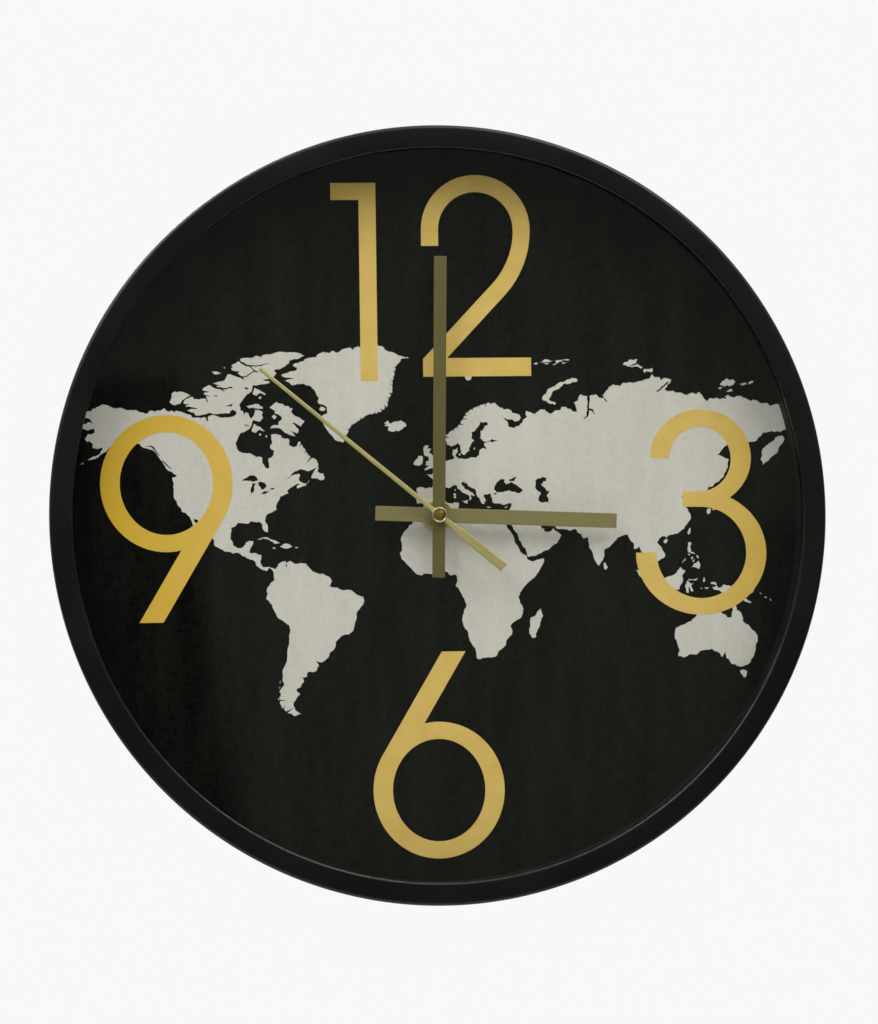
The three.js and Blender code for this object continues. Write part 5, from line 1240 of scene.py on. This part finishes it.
case_plastic = moulded(
    "black movement plastic", (24, 24, 25), (33, 33, 34),
    gloss=(0.42, 0.58), scale=800.0, depth=0.00003, dust=0.08)
front_case = softened_copy("movement_front_case", "movement_front", CASE_ROUND)
dress(front_case, case_plastic, "case", "case_plastic", "movement_front_case")
rear_cover = softened_copy("movement_rear_cover", "movement_rear", CASE_ROUND)
cover_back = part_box("movement_rear_cover")[1].y
knob_low, knob_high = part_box("setting_knob")
knob_place = ((knob_low.x + knob_high.x) / 2, (knob_low.z + knob_high.z) / 2)
sink(rear_cover, KNOB_ROUND, cover_back - KNOB_ROUND_DEPTH, cover_back, *knob_place)
sign_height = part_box("battery")[1].z + SIGN_ABOVE_CELL
for x, across, up in ((SIGN_ASIDE, SIGN_LENGTH, SIGN_STROKE), (SIGN_ASIDE, SIGN_STROKE, SIGN_LENGTH),
                      (-SIGN_ASIDE, SIGN_LENGTH, SIGN_STROKE)):
    stroke = block("stroke", (x - across / 2, cover_back - SIGN_ROOT, sign_height - up / 2),
                   (x + across / 2, cover_back + SIGN_RISE, sign_height + up / 2))
    combine(rear_cover, stroke, "UNION")
shade_flat_faces(rear_cover)
dress(rear_cover, case_plastic, "case", "case_plastic", "movement_rear_cover")
knob = softened_copy("setting_knob", "set_knob", KNOB_EDGE)
dress(knob, case_plastic, "setting", "wheel_plastic", "setting_knob")

# Battery: one AA cell, a drawn steel can in a plain printed sleeve, with bare steel ends.
# It lies in the bay of the rear cover, between two sprung contacts.
NUB_LENGTH = 0.0012
NUB_RADIUS = 0.0027
NUB_EDGE = 0.0002
SLEEVE_ROUND = 0.0009
SLEEVE_LIP = 0.0012
BAND_START = 0.013
low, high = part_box("battery")
cell_radius = (high.z - low.z) / 2
cell_middle = ((low.y + high.y) / 2, (low.z + high.z) / 2)
shoulder = high.x - NUB_LENGTH
cell = spin_profile("cell", (
    [(0.0, low.x), (cell_radius - SLEEVE_ROUND, low.x)]
    + arc((cell_radius - SLEEVE_ROUND, low.x + SLEEVE_ROUND), SLEEVE_ROUND, 270, 360, 5)
    + arc((cell_radius - SLEEVE_ROUND, shoulder - SLEEVE_ROUND), SLEEVE_ROUND, 0, 90, 5)
    + [(NUB_RADIUS, shoulder), (NUB_RADIUS, high.x - NUB_EDGE), (NUB_RADIUS - NUB_EDGE, high.x),
       (0.0, high.x)]), steps=64)
cell.rotation_euler = (0, 0, -math.pi / 2)
cell.location = (0, cell_middle[0], cell_middle[1])
settle(cell)
smooth(cell, angle=35)
cell_wrap, tree, shader = new_material("printed battery sleeve")
place = add_node(tree, "ShaderNodeTexCoord").outputs["Object"]
along = add_node(tree, "ShaderNodeSeparateXYZ", {0: place}).outputs["X"]
band = reckon(tree, "GREATER_THAN", along, BAND_START)
sleeve = blend(tree, band, tint(30, 74, 52), tint(208, 206, 196))
centred = add_node(tree, "ShaderNodeVectorMath", {
    0: place, 1: (0, -cell_middle[0], -cell_middle[1])}, operation="ADD").outputs[0]
bare = within(tree, centred, (0, 1, 1), cell_radius - SLEEVE_LIP)
feed(tree, shader, {
    "Base Color": blend(tree, bare, sleeve, tint(186, 187, 188)), "Metallic": bare, "Roughness": 0.32})
dress(cell, cell_wrap, "cell", "cell_wrap", "battery")

# Inside of the movement: moulded wheels, brass and steel arbors, and the motor with its coil, magnet
# and circuit board. They are the solids of the part as they are, each with its own finish.
wheel_plastic = moulded("white acetal", (214, 212, 205), (226, 224, 218), gloss=(0.35, 0.5), depth=0.00001)
copper = brushed("enamelled copper wire", (150, 72, 34), (196, 108, 58), gloss=(0.25, 0.4), degrees=90)
magnet = moulded("bonded magnet", (58, 58, 60), (74, 74, 76), gloss=(0.5, 0.65))
board = moulded("green circuit board", (24, 70, 42), (34, 88, 54), gloss=(0.35, 0.5))
resin = moulded("black resin", (18, 18, 18), (28, 28, 28), gloss=(0.25, 0.4))
bobbin = moulded("cream bobbin plastic", (206, 196, 164), (220, 210, 180), gloss=(0.4, 0.55))
rubber = moulded("black rubber", (20, 20, 20), (28, 28, 28), gloss=(0.75, 0.9))
for material, nodes in (
        (rubber, ("rubber_washer",)),
        (brass, ("shaft_bush", "minute_arbor")),
        (steel, ("second_arbor", "stator", "coil_core", "positive_contact", "negative_contact",
                 "quartz_crystal")),
        (wheel_plastic, ("middle_plate", "rotor_pinion", "intermediate_wheel", "second_wheel",
                         "third_wheel", "centre_wheel", "motion_wheel", "hour_wheel", "setting_wheel")),
        (magnet, ("rotor_magnet",)),
        (bobbin, ("coil_bobbin",)),
        (copper, ("coil_winding",)),
        (board, ("circuit_board",)),
        (resin, ("driver_chip",))):
    for node in nodes:
        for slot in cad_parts[node].material_slots:
            slot.material = material
